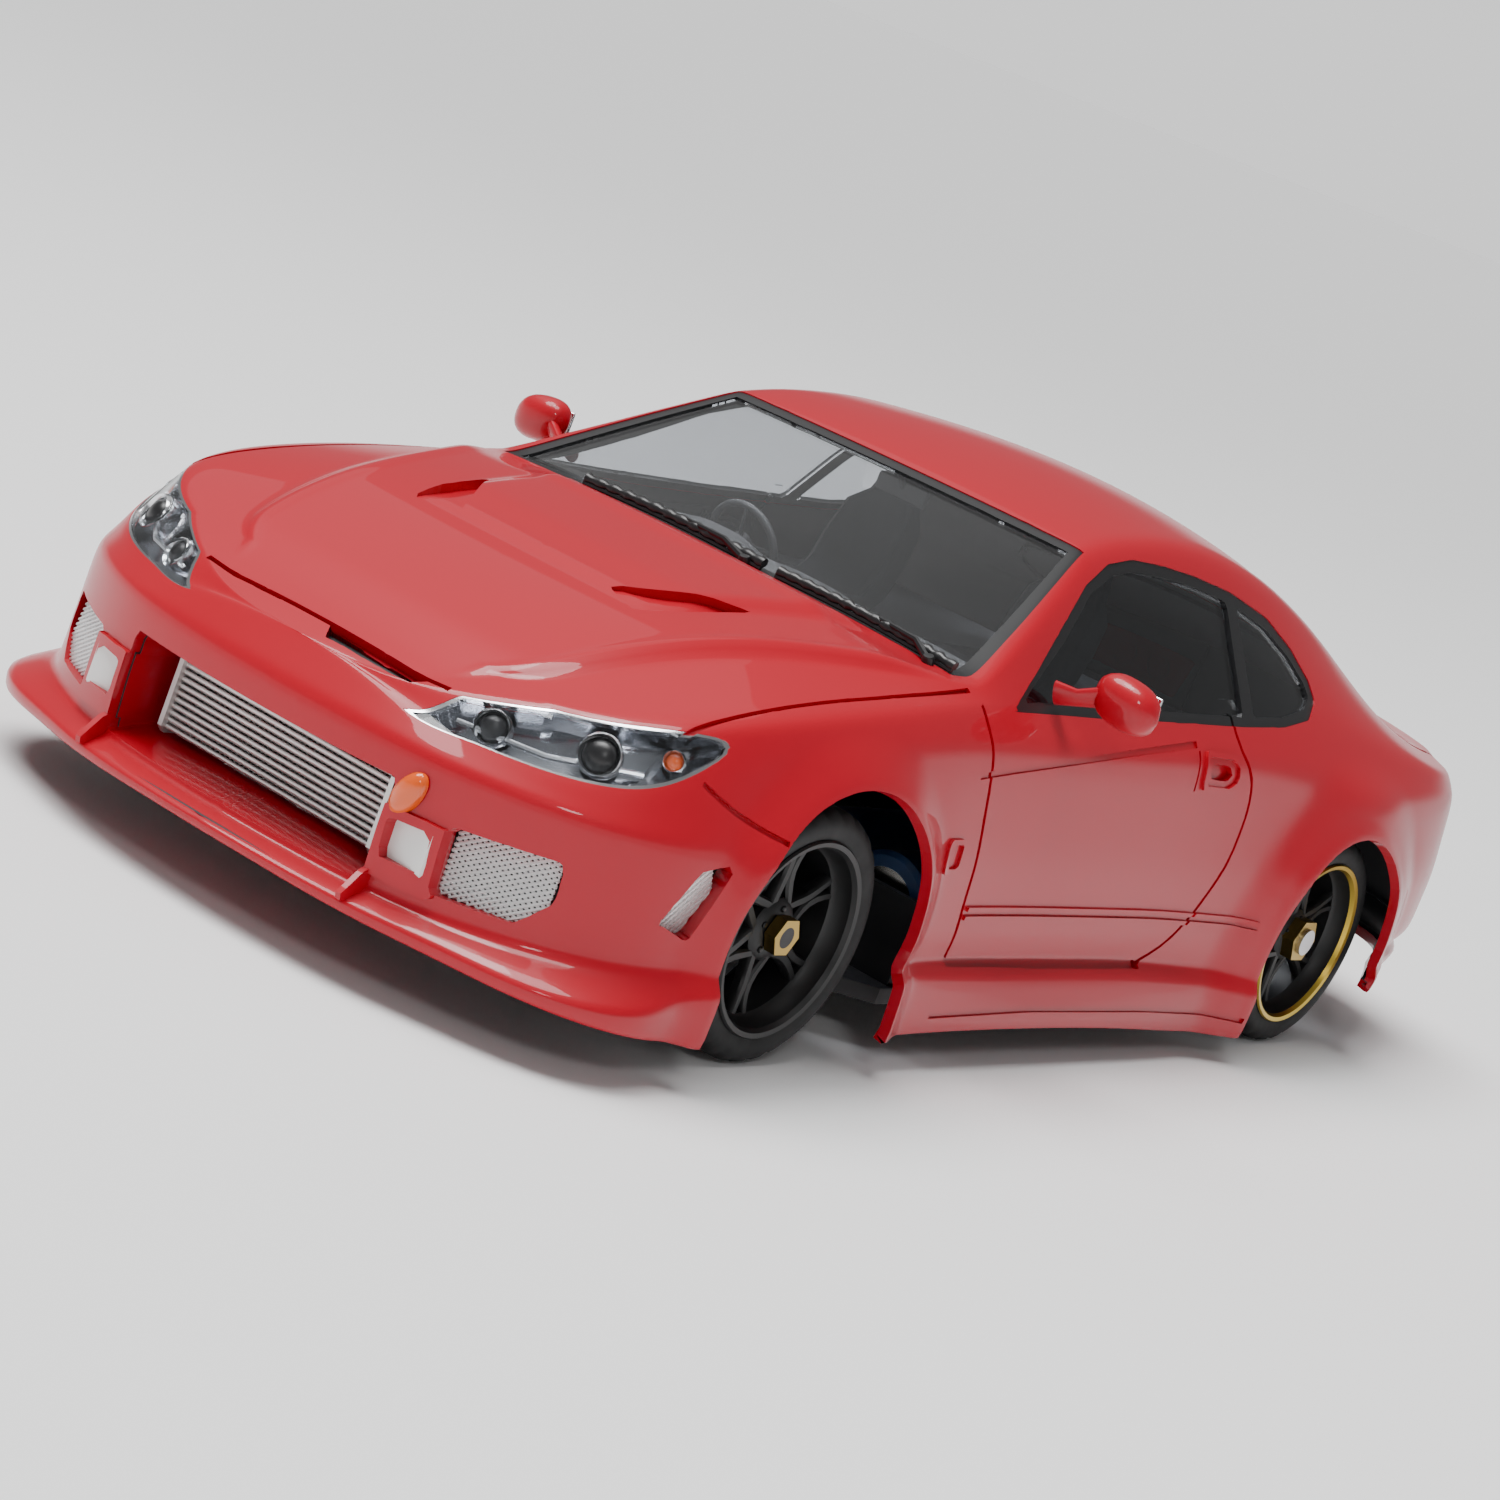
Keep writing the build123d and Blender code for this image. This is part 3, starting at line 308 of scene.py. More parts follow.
class Skin:
    """Points, smooth normals and triangles. `extra` holds each point's row, its distance round the car and
    the outward direction that gives the wall its thickness."""

    def __init__(self, points, normals, extra, tris):
        self.p, self.n, self.e, self.t = points, normals, extra, tris
        self.tag = np.zeros(len(tris), int)

    def measured(self, measure, near):
        """The measure at the points near by, tiny values counted as zero, and which triangles are near."""
        close = near(self.p, self.e)
        f = np.zeros(len(self.p))
        f[close] = measure(self.p[close], self.e[close])
        f[np.abs(f) < SNAP] = 0
        return f, close[self.t].all(1)

    def cut(self, measure, near):
        """Splits the triangles near by, along the line where the measure of (points, extra) is zero."""
        f, close = self.measured(measure, near)
        signs = np.sign(f)[self.t]
        mixed = (signs.min(1) < 0) & (signs.max(1) > 0) & close
        if not mixed.any():
            return
        tris, signs, tags = self.t[mixed], signs[mixed], self.tag[mixed]
        on_line = (signs == 0).any(1)
        alone = np.where(signs.sum(1)[:, None] > 0, signs < 0, signs > 0)
        first = np.where(on_line, np.argmax(signs == 0, axis=1), np.argmax(alone, axis=1))
        turned = np.take_along_axis(tris, (first[:, None] + np.arange(3)) % 3, 1)
        one, two = turned[on_line], turned[~on_line]
        edges = np.concatenate([one[:, [1, 2]], two[:, [0, 1]], two[:, [0, 2]]])
        pairs, back = np.unique(np.sort(edges, axis=1), axis=0, return_inverse=True)
        back = back.reshape(-1)
        i, j = pairs[:, 0], pairs[:, 1]
        w = (f[i] / (f[i] - f[j]))[:, None]
        fresh = len(self.p) + back
        between = [values[i] + w * (values[j] - values[i]) for values in (self.p, self.n, self.e)]
        self.p = np.concatenate([self.p, between[0]])
        self.n = np.concatenate([self.n, unit(between[1])])
        self.e = np.concatenate([self.e, between[2]])
        a, b, c = len(one), len(one) + len(two), len(one) + 2 * len(two)
        m, m1, m2 = fresh[:a], fresh[a:b], fresh[b:c]
        parts = [
            np.stack([one[:, 0], one[:, 1], m], 1),
            np.stack([one[:, 0], m, one[:, 2]], 1),
            np.stack([two[:, 0], m1, m2], 1),
            np.stack([m1, two[:, 1], two[:, 2]], 1),
            np.stack([m1, two[:, 2], m2], 1),
        ]
        owners = [tags[on_line]] * 2 + [tags[~on_line]] * 3
        self.t = np.concatenate([self.t[~mixed]] + parts)
        self.tag = np.concatenate([self.tag[~mixed]] + owners)

    def inside(self, *measures, near):
        """Cuts along every measure, and says which triangles lie on the negative side of all of them."""
        for measure in measures:
            self.cut(measure, near)
        chosen = np.ones(len(self.t), bool)
        for measure in measures:
            f, close = self.measured(measure, near)
            chosen &= close & (f[self.t].sum(1) < 0)
        return chosen

    def paint(self, tag, *measures, near, among=None):
        """Gives the triangles inside the measures a tag, if they have one of the tags in `among`."""
        chosen = self.inside(*measures, near=near)
        if among is not None:
            chosen &= np.isin(self.tag, among)
        self.tag[chosen] = tag

    def wall(self, chosen, shift, tag, keep=True):
        """Moves the chosen triangles by shift and walls in the step; without keep they are left out."""
        tris = self.t[chosen]
        if not len(tris):
            return
        edges = rim_edges(self.p, tris)
        used, back = np.unique(tris, return_inverse=True)
        moved = self.p[used] + shift(self.p[used], self.e[used, 2:])
        place = np.full(len(self.p), -1)
        place[used] = np.arange(len(used))
        points, normals, walls = bands(self.p[edges], moved[place[edges]], len(self.p) + len(used))
        self.p = np.concatenate([self.p, moved, points])
        self.n = np.concatenate([self.n, self.n[used], normals])
        wall_extra = self.e[edges[:, [0, 1, 1, 0]]].reshape(-1, self.e.shape[1])
        self.e = np.concatenate([self.e, self.e[used], wall_extra])
        floor = (len(self.n) - len(points) - len(used)) + back.reshape(tris.shape)
        added = [walls, floor] if keep else [walls]
        owners = [np.full(len(piece), tag) for piece in added]
        self.t = np.concatenate([self.t[~chosen]] + added)
        self.tag = np.concatenate([self.tag[~chosen]] + owners)

    def take(self, *tags):
        tris = self.t[np.isin(self.tag, tags)]
        used, back = np.unique(tris, return_inverse=True)
        return self.p[used], self.n[used], self.e[used, 2:], back.reshape(tris.shape)


def thickened(points, normals, outward, tris, wall):
    """A surface with an inner copy and a flat rim joining the two, and which faces are inner; on the painted
    pieces the inner faces are black, partly the shell's bare inside and partly painted shade.
    The inner copy of a deep side wall is not counted as inner: it lies on the wall itself."""
    edges = rim_edges(points, tris)
    inner = points - wall * outward
    faces = points[tris]
    facing = unit(np.cross(faces[:, 1] - faces[:, 0], faces[:, 2] - faces[:, 0]))
    across = outward[tris[:, :1]]
    depth = np.ptp((faces * across).sum(2), axis=1)
    hidden = ((np.abs((facing * across[:, 0]).sum(1)) > 0.85) | (depth < 1)).astype(int)
    count = len(points)
    rim_p, rim_n, rim_t = bands(points[edges][:, ::-1], inner[edges][:, ::-1], 2 * count)
    return (
        np.concatenate([points, inner, rim_p]),
        np.concatenate([normals, -normals, rim_n]),
        np.concatenate([tris, tris[:, ::-1] + count, rim_t]),
        np.concatenate([0 * hidden, hidden, np.zeros(len(rim_t), int)]),
    )


def mesh_object(name, points, normals, tris, paints=None):
    """A smooth mesh object from arrays in millimetres, with its own normals."""
    mesh = bpy.data.meshes.new(name)
    mesh.vertices.add(len(points))
    mesh.vertices.foreach_set("co", (np.asarray(points, np.float32) * MM).ravel())
    mesh.loops.add(len(tris) * 3)
    mesh.loops.foreach_set("vertex_index", np.asarray(tris, np.int32).ravel())
    mesh.polygons.add(len(tris))
    mesh.polygons.foreach_set("loop_start", np.arange(0, len(tris) * 3, 3, dtype=np.int32))
    mesh.polygons.foreach_set("use_smooth", np.ones(len(tris), bool))
    if paints is not None:
        mesh.polygons.foreach_set("material_index", np.asarray(paints, np.int32))
    mesh.update(calc_edges=True)
    mesh.validate()
    mesh.normals_split_custom_set_from_vertices(np.asarray(normals, float).tolist())
    return into_scene(name, mesh)


# ---------------------------------------------------------------- the body skin
# Steps between the feature lines: centre, crease, fender, seam, wide, waist, fold, edge, underside, return.
ROWS = [36, 16, 8, 13, 10, 7, 6, 4, 3]
CREASE, FENDER, SEAM, WIDE, _, FOLD, *_ = np.cumsum(ROWS)
COLUMNS = 320


def smooth_rows(grid, sigma):
    """Rounds the grid across its rows, mirrored at the centre line and held at the return."""
    reach = 6
    head = grid[:, reach:0:-1] * np.array([1, -1, 1])
    tail = 2 * grid[:, -1:] - grid[:, -2 : -reach - 2 : -1]
    longer = np.concatenate([head, grid, tail], axis=1)
    offsets = np.arange(-reach, reach + 1)
    weights = np.exp(-(offsets**2) / (2 * sigma**2))
    weights /= weights.sum()
    rows = grid.shape[1]
    return sum(w * longer[:, reach + k : reach + k + rows] for k, w in zip(offsets, weights))


def arch_reach(x, z, arch):
    """Distance outside a wheel arch: a circle above the axle and straight legs below it."""
    cx, cz, radius = arch
    return np.where(z > cz, np.hypot(x - cx, z - cz), np.abs(x - cx)) - radius


def half_grid():
    at, seam, plan, steps, outward = side_lines(COLUMNS)
    x = seam[:, 0]
    # near the nose and tail, the crease and the fender top keep inside the seam
    ends = [-92, -86, -78, 80, 84, 87, 89]
    to_edge = np.interp(x, ends, [0.80, 0.84, 1, 1, 0.85, 0.63, 0.60]) * seam[:, 1]
    to_fender = np.interp(x, ends, [0.92, 0.93, 1, 1, 0.95, 0.79, 0.76]) * seam[:, 1]
    crease_y, crease_z = along_top(CREASE_LINE, x)
    fender_y, fender_z = along_top(FENDER_LINE, x)

    def stepped(offset, height):
        return np.stack([*(plan + (offset + 0 * x)[:, None] * outward).T, height + 0 * x], 1)

    lines = [
        np.stack([x, 0 * x, along_top(CENTRE_LINE, x)[0]], 1),
        np.stack([x, np.minimum(crease_y, to_edge), crease_z], 1),
        np.stack([x, np.minimum(fender_y, to_fender), fender_z], 1),
        seam,
        stepped(0, WIDE_Z),
        stepped(0, WAIST_Z),
        stepped(steps[:, 0], steps[:, 1]),
        stepped(steps[:, 2], steps[:, 3]),
        stepped(steps[:, 4], steps[:, 5]),
        stepped(steps[:, 4] - 1.5, steps[:, 5] + 0.3),
    ]
    pieces = []
    for k, count in enumerate(ROWS):
        share = np.arange(count)[None, :, None] / count
        piece = lines[k][:, None] * (1 - share) + lines[k + 1][:, None] * share
        if k == 0:
            rise = (lines[0][:, 2] - lines[1][:, 2])[:, None]
            piece[:, :, 2] += rise * (share[:, :, 0] - share[:, :, 0] ** 2)
        pieces.append(piece)
    grid = np.concatenate(pieces + [lines[-1][:, None]], axis=1)
    row = np.arange(grid.shape[1])[None, :]
    crisp = step(FOLD - 4, FOLD, row)[..., None]
    grid = smooth_rows(grid, 1.7) * (1 - crisp) + smooth_rows(grid, 0.75) * crisp

    # flares round the wheels, on the side only
    px, pz = grid[..., 0], grid[..., 2]
    side = step(FENDER, SEAM + 2, row)
    for arch, height, spread in ((FRONT_ARCH, 1, 4.6), (REAR_ARCH, 1.5, 8.5)):
        reach = np.maximum(arch_reach(px, pz, arch), 0)
        away = np.clip(1 - reach / spread, 0, 1)
        rolled = 0.35 * np.exp(-((reach / 1.1) ** 2))
        grid[..., :2] += (side * (height * away**2 * (3 - 2 * away) + rolled))[..., None] * outward[:, None]

    # the bonnet's raised middle with two soft steps across it
    py = np.abs(grid[..., 1])
    half_width = np.interp(px, [34, 40, 62], [19.5, 17.5, 13.5])
    raised = (1 - step(half_width - 1.5, half_width + 1, py)) * step(34.5, 38, px)
    raised *= 1 - 0.45 * step(54, 60.5, px) - 0.55 * step(61, 62.8, px)
    ridge = np.exp(-(((px - 41) / 1.6) ** 2)) * (1 - step(15, 22, py)) * 0.35
    grid[..., 2] += np.where(row < CREASE, 0.75 * raised + ridge, 0)
    # the crease that sweeps over the bonnet from the headlamps to the windscreen's corners
    over_crease = (1 - step(CREASE - 1, CREASE + 2.5, row)) * step(85, 78, px) * step(34, 44, px)
    edge_line = np.exp(-(((row - CREASE) / 1.4) ** 2)) * step(85, 78, px) * step(34, 44, px)
    grid[..., 2] += 0.7 * over_crease + 0.28 * edge_line
    # the shoulder over the rear wheel stands a little proud, ahead of the boot
    swell = np.exp(-(((px + 56) / 14) ** 2)) * np.exp(-(((pz - 31) / 4.5) ** 2)) * side * 0.5
    grid[..., :2] += swell[..., None] * outward[:, None]

    grid[:, 0, 1] = 0
    grid[0, :, 1] = 0
    grid[-1, :, 1] = 0
    return grid, at


def whole_skin():
    grid, at = half_grid()
    columns, rows = grid.shape[:2]
    index = np.arange(columns * rows).reshape(columns, rows)
    a, b, c, d = index[:-1, :-1], index[:-1, 1:], index[1:, 1:], index[1:, :-1]
    tris = np.concatenate([np.stack([a, b, c], -1).reshape(-1, 3), np.stack([a, c, d], -1).reshape(-1, 3)])
    points = grid.reshape(-1, 3)
    extra = np.stack(np.broadcast_arrays(np.arange(rows)[None, :], at[:, None]), axis=-1).reshape(-1, 2)
    points = np.concatenate([points, points * [1, -1, 1]])
    extra = np.concatenate([extra, extra]).astype(float)
    tris = np.concatenate([tris, tris[:, ::-1] + columns * rows])
    places = np.round(points * 1e3).astype(np.int64)
    _, first, same = np.unique(places, axis=0, return_index=True, return_inverse=True)
    tris = first[same.reshape(-1)][tris]
    good = (tris[:, 0] != tris[:, 1]) & (tris[:, 1] != tris[:, 2]) & (tris[:, 2] != tris[:, 0])
    tris = tris[good]
    normals = vertex_normals(points, tris)
    if (normals[tris[:, 0]] * (points[tris[:, 0]] - [0, 0, 20])).sum() < 0:
        tris, normals = tris[:, ::-1], -normals
    used, back = np.unique(tris, return_inverse=True)
    points, normals, extra = points[used], normals[used], extra[used]
    return Skin(points, normals, np.concatenate([extra, normals], axis=1), back.reshape(tris.shape))


(SHELL, BUMPER, LIP, SKIRT, REAR_BUMPER, SCREEN, SCREEN_SEAL, REAR_GLASS, REAR_SEAL, SIDE_GLASS, SIDE_SEAL,
 QUARTER, LENS, LENS_RIM, TAIL, SHADE_FLOOR, GONE) = range(17)
skin = whole_skin()


def zone(x=(-200, 200), rows=(-1, 200), beside=-1):
    """Where the skin lies within these limits in x and in rows, and further than `beside` from the middle."""
    def near(p, e):
        along = (p[:, 0] > x[0]) & (p[:, 0] < x[1])
        return along & (e[:, 0] > rows[0]) & (e[:, 0] < rows[1]) & (np.abs(p[:, 1]) > beside)
    return near


on_side, on_top = zone(rows=(CREASE - 3, 200), beside=17), zone(rows=(-1, SEAM))


def flat(view, p):
    """Points as seen from the side, the top or the front, both halves of the car alike."""
    if view == "side":
        return p[:, [0, 2]]
    return np.stack([p[:, 0] if view == "top" else p[:, 2], np.abs(p[:, 1])], 1)


def outlined(view, outline, rounding=0.0):
    return lambda p, e: signed_distance(outline, flat(view, p), rounding)


def sink(depth):
    return lambda p, out: -depth * out


def boxed(outline, where, view, margin=3.0):
    """Where the skin lies near an outline."""
    low, high = np.min(outline, axis=0) - margin, np.max(outline, axis=0) + margin

    def near(p, e):
        at = flat(view, p)
        return where(p, e) & (at > low).all(1) & (at < high).all(1)
    return near


def groove(line, where, view="side", width=0.5, depth=0.45, tag=SHELL):
    """A narrow channel along a line in one of the flat views; a negative depth makes a rib."""
    line = rounded_line(line)
    first, last = unit(line[1] - line[0]), unit(line[-1] - line[-2])
    in_box = boxed(line, where, view, 2.5)

    def ends(p, e):
        at = flat(view, p)
        return np.maximum(-((at - line[0]) @ first), (at - line[-1]) @ last)

    def near(p, e):
        close = in_box(p, e)
        beside = np.abs(line_distance(line, flat(view, p[close]))) < 2.5
        close[close] = beside & (ends(p[close], e[close]) < 2)
        return close

    chosen = skin.inside(
        lambda p, e: line_distance(line, flat(view, p)) - width / 2,
        lambda p, e: -line_distance(line, flat(view, p)) - width / 2,
        ends,
        near=near,
    )
    skin.wall(chosen, sink(depth), tag)


def ring(outline, where, view="side", width=0.5, depth=-0.32, rounding=0.2, tag=SHELL):
    """A rib or channel that follows a closed outline."""
    def distance(p, e):
        return signed_distance(outline, flat(view, p), rounding)

    chosen = skin.inside(
        lambda p, e: distance(p, e) - width / 2,
        lambda p, e: -distance(p, e) - width / 2,
        near=boxed(outline, where, view),
    )
    skin.wall(chosen, sink(depth), tag)


def opening(view, outline, rounding, near, shift, tag, keep=False):
    """A hole through the skin, or with keep a pocket, whose walls run from its outline by the shift."""
    skin.wall(skin.inside(outlined(view, outline, rounding), near=near), shift, tag, keep)


# ---------------------------------------------------------------- openings and shut lines
for arch in (FRONT_ARCH, REAR_ARCH):
    reach = arch[2] + 4
    near_wheel = zone(x=(arch[0] - reach, arch[0] + reach), rows=(FENDER + 3, 200), beside=20)
    skin.paint(GONE, lambda p, e: arch_reach(p[:, 0], p[:, 2], arch), near=near_wheel)

# Shut lines of the bonnet, doors and boot, seen from the top or the side.
BONNET_SIDE = [(79.5, 30.2), (70, 30.7), (50, 30.9), (33.5, 30.5)]
DOOR_FRONT = [(32.7, 34.6), (31, 28.5), (29.4, 21.6), (28.4, 15.9), (26.6, 10.2)]
DOOR_REAR = [
    (-17.4, 36.4), (-18, 33.6), (-21.2, 31), (-22.3, 27.4), (-21.4, 22), (-18.4, 16.2), (-14.6, 11.6),
    (-11.6, 9.9),
]
DOOR_SILL = [(26.6, 10.2), (8, 9.95), (-12, 9.9)]
BOOT_SIDE = [(-61.5, 23), (-64.5, 25.6), (-74, 26.2), (-89.5, 24.6)]
BONNET_FRONT = [(86.2, 0), (86.3, 8), (86, 14.6)]
BOOT_FRONT = [(-61.5, 0), (-61.5, 23)]
BELT_CREASE = [(33, 28.7), (18, 30.4), (4, 32), (-9, 33.3)]
SKIRT_CREASE = [(29, 5.6), (10, 6), (-14, 5.7), (-33, 5)]
BUMPER_SEAM = [(73.6, 25.6), (71.8, 24.5), (68.6, 23.3), (64.5, 22.3)]
groove(BONNET_SIDE, on_top, "top")
groove(BONNET_FRONT, on_top, "top", width=0.55, depth=0.9)
groove(DOOR_FRONT, on_side)
groove(DOOR_REAR, on_side)
groove(DOOR_SILL, on_side, width=0.7, depth=0.5)
groove(BELT_CREASE, on_side, width=0.6, depth=0.2)
groove(BOOT_SIDE, on_top, "top")
groove(BOOT_FRONT, on_top, "top")
groove(SKIRT_CREASE, on_side, width=0.6, depth=0.3)
for height in (15, 15.9):  # two rubbing ribs along the door
    groove([(27.6, height), (-10, height), (-30.5, height - 0.3)], on_side, width=0.45, depth=-0.28)
groove(BUMPER_SEAM, on_side, width=0.5, depth=0.4)

# The windows: their black frames, and the glass inside them.
SIDE_FRAME = [
    (26.9, 34.3), (21.4, 37.6), (15.5, 41.6), (9.6, 45.5), (4.6, 47.6), (-0.5, 48.4), (-6.1, 48.4),
    (-13.4, 48), (-21.5, 47.1), (-29.9, 45.3), (-35.2, 42.8), (-38.3, 40.1), (-38.7, 38.3), (-36, 36.6),
    (-29.4, 35.7), (-20.2, 35.3), (-3.6, 34.9), (10, 34.5),
]
DOOR_GLASS = [
    (24.4, 35.2), (15.2, 40.4), (8.6, 44.9), (4, 46.7), (-0.5, 47.4), (-6.1, 47.4), (-13.4, 47),
    (-20.2, 46.2), (-20.2, 36.2), (-3.6, 35.8),
]
QUARTER_GLASS = [
    (-22.6, 45.9), (-29.4, 44.2), (-34.1, 42), (-37, 39.7), (-37.3, 38.6), (-35.2, 37.5), (-29.4, 36.6),
    (-22.6, 36.3),
]


def beside_screen(gap):
    """Between the two creases that run up the windscreen and over the roof, less a gap in rows."""
    return lambda p, e: e[:, 0] - (CREASE - gap)


def between(front, back, front_bow, back_bow, reach):
    """Between two edges across the car, each of which bows by so much at `reach` from the middle."""
    def measure(p, e):
        bow = (p[:, 1] / reach) ** 2
        return np.maximum(p[:, 0] - (front + front_bow * bow), (back + back_bow * bow) - p[:, 0])
    return measure


on_cabin = zone(x=(-66, 40), rows=(-1, CREASE + 4))
SCREEN_BOW, REAR_BOW = (-1, -1.2, 30), (1.6, 1.2, 25)
for tag, gap, x_limits, bow, among in (
    (SCREEN_SEAL, 1.2, (34.7, 8.6), SCREEN_BOW, None),
    (SCREEN, 3.2, (33.3, 9.9), SCREEN_BOW, [SCREEN_SEAL]),
    (REAR_SEAL, 2.4, (-31.4, -59.6), REAR_BOW, None),
    (REAR_GLASS, 4.2, (-32.7, -58.3), REAR_BOW, [REAR_SEAL]),
):
    skin.paint(tag, beside_screen(gap), between(*x_limits, *bow), near=on_cabin, among=among)


by_glass = zone(x=(-44, 44), rows=(CREASE - 1, SEAM + 2))
skin.paint(SIDE_SEAL, outlined("side", SIDE_FRAME), near=by_glass)
skin.paint(SIDE_GLASS, outlined("side", DOOR_GLASS), near=by_glass)
skin.paint(QUARTER, outlined("side", QUARTER_GLASS), near=by_glass)

# Headlights: an almond between the fender's top line and the seam below it.
LENS_TIP, LENS_BLUNT = 70.8, 12.0


def lens_shape(shrink):
    """The almond: pointed beside the grille, blunt at the side, deeper below on the inner half."""
    def measure(p, e):
        across = (e[:, 0] - FENDER) / (SEAM - FENDER)
        near_tip = np.clip((LENS_TIP + LENS_BLUNT - p[:, 0]) / LENS_BLUNT, 0, 1)
        half = 0.56 * np.sqrt(np.clip(1 - near_tip**2, 0, 1)) - shrink / 8
        low_half = half + 0.24 * step(20, 14, np.abs(p[:, 1]))
        along = LENS_TIP + shrink - p[:, 0]
        inner = 15.6 + shrink - 2.2 * across - np.abs(p[:, 1])
        upright = np.maximum(across - 0.5 - low_half, 0.5 - across - half) * 8
        return np.maximum(np.maximum(upright, along), inner)
    return measure


by_lens = zone(x=(66, 200), rows=(CREASE, WIDE))
skin.paint(LENS_RIM, lens_shape(0), near=by_lens)
skin.paint(LENS, lens_shape(0.55), near=by_lens)

# The bumpers, the lip and the skirts are pieces of their own.
BUMPER_SIDE = [(60, 20.6), (68.4, 23.2), (72, 24.8), (74, 26.6), (110, 40), (110, -5), (60, -5)]


def ahead_of_seam(p, e):
    """Ahead of the fender seam, below the lamps and in front of the bonnet gap."""
    ahead_of_gap = 86.2 - p[:, 0]
    beside = np.where(np.abs(p[:, 1]) > 20, signed_distance(BUMPER_SIDE, p[:, [0, 2]]), -9)
    return np.where(e[:, 0] < SEAM - 0.5, ahead_of_gap, beside)


def below(row):
    return lambda p, e: row - e[:, 0]


skin.paint(BUMPER, ahead_of_seam, near=zone(x=(58, 200)), among=[SHELL])
skin.paint(LIP, below(FOLD), near=zone(x=(50, 200)), among=[SHELL, BUMPER])
skin.paint(SKIRT, below(FOLD), near=zone(x=(-50, 50)), among=[SHELL])
behind_arch = zone(x=(-200, -55))
skin.paint(REAR_BUMPER, below(WIDE - 2), lambda p, e: p[:, 0] + 64, near=behind_arch, among=[SHELL])


# Openings in the front bumper, each with walls that run back from its edge.
CORE_X, CORE_HALF, CORE_LOW, CORE_HIGH = 86.4, 12.6, 10, 17.0
CORE_OPENING = [(8.9, 0), (8.9, 15.4), (17.4, 15.4), (17.4, 0)]
LAMP_FRAME = [(10, 15.9), (9.9, 21.2), (15, 21.3), (15.2, 15.9)]
LAMP_OPENING = [(11.5, 16.8), (11.6, 20.1), (14.5, 20), (14.4, 16.7)]
FOG_OPENING = [(10.6, 21.9), (10.9, 27.4), (13.2, 29.1), (15.9, 29), (15.4, 21.7)]
SIDE_VENT = [(69.8, 19.6), (72.8, 18.6), (75, 13.9), (72, 12.8)]


def straight_back(depth, lift=0.0):
    """Runs a wall straight back, and lifts its lowest part by so much."""
    return lambda p, out: np.stack([-depth + 0 * p[:, 0], 0 * p[:, 0], lift * step(13, 8, p[:, 2])], 1)


by_nose, by_corner = zone(x=(76, 200), rows=(SEAM, 200)), zone(x=(62, 80), rows=(SEAM, 200))


def by_slot(p, e):
    """The slot at the bonnet's front edge is on the left only."""
    return (p[:, 0] > 80) & (p[:, 1] > 0) & (e[:, 0] < SEAM + 2)


def wedge(p, out):
    """Deepens towards the back."""
    return out * (-0.12 - 0.8 * step(65, 57, p[:, :1]))


opening("front", LAMP_FRAME, 0.5, by_nose, straight_back(-0.5), BUMPER, keep=True)
opening("front", CORE_OPENING, 0.4, by_nose, straight_back(6.2, 1.2), BUMPER)
opening("front", LAMP_OPENING, 0.3, by_nose, straight_back(1.3), BUMPER)
opening("front", FOG_OPENING, 0.6, by_nose, straight_back(1.2), BUMPER)
opening("side", SIDE_VENT, 0.2, by_corner, sink(1.2), BUMPER)
BONNET_SLOT = [(86.3, 0.8), (86.2, 12.6), (87.5, 11.6), (87.9, 2)]
# The slot's floor is painted black: painted shade for the gap under the bonnet's front edge.
opening("top", BONNET_SLOT, 0, by_slot, sink(0.9), SHADE_FLOOR, keep=True)
VENT = [(61.9, 9.4), (63.4, 13.4), (58, 15.2), (50.6, 16.2)]
opening("top", VENT, 0.2, boxed(VENT, on_top, "top"), wedge, SHELL, keep=True)
# Door handles and the square marker lamps behind the front wheels.
HANDLE = [(-11, 29.5), (-11, 32.4), (-16.4, 32.3), (-17.9, 31.5), (-17.9, 30.2), (-16.4, 29.4)]
HANDLE_GRIP = [(-12.2, 30.4), (-12.2, 31.6), (-15.8, 31.5), (-16.6, 30.9), (-15.8, 30.3)]
MARKER = [(33, 20), (33, 22.4), (35.4, 22.4), (35.4, 20)]
groove([(-9.5, 28.8), (-9.4, 32.8)], on_side, width=0.35, depth=0.3)
ring(HANDLE, on_side)
opening("side", HANDLE_GRIP, 0.2, boxed(HANDLE, on_side, "side"), sink(0.7), SHELL, keep=True)
ring(MARKER, on_side, width=0.5, depth=-0.3)

# Tail: lamp lenses, a number panel without a number, the bumper's step and a low outlet.
TAIL_OUTLINE = [(24.2, 12.6), (28.9, 11.6), (29.2, 40), (25.2, 40)]
PLATE = [(14.6, 0), (14.6, 9), (20.4, 9), (20.4, 0)]
OUTLET = [(8.6, 0), (8.6, 14), (11.8, 12), (11.8, 0)]


by_tail = zone(x=(-200, -80), rows=(FENDER - 8, 200))
groove([(22.6, 0), (22.6, 34)], by_tail, "front", width=0.5, depth=0.45, tag=REAR_BUMPER)
groove([(32.2, 10.4), (22.8, 10.8)], by_tail, "front", width=0.4, depth=0.4)
groove([(12.9, 15.5), (13.1, 34)], by_tail, "front", width=0.5, depth=0.4, tag=REAR_BUMPER)
skin.paint(TAIL, outlined("front", TAIL_OUTLINE, 0.4), near=by_tail)
for y in (15.6, 20.4):
    round_lamp = [(26.7 + 1.55 * v, y + 1.55 * u) for u, v in circle(24)]
    ring(round_lamp, by_tail, "front", width=0.35, depth=-0.2, rounding=0, tag=TAIL)
opening("front", PLATE, 0.4, by_tail, sink(1.1), REAR_BUMPER, keep=True)
# The outlet's floor is painted black: painted shade inside the opening.
opening("front", OUTLET, 0.5, by_tail, straight_back(-3), SHADE_FLOOR, keep=True)


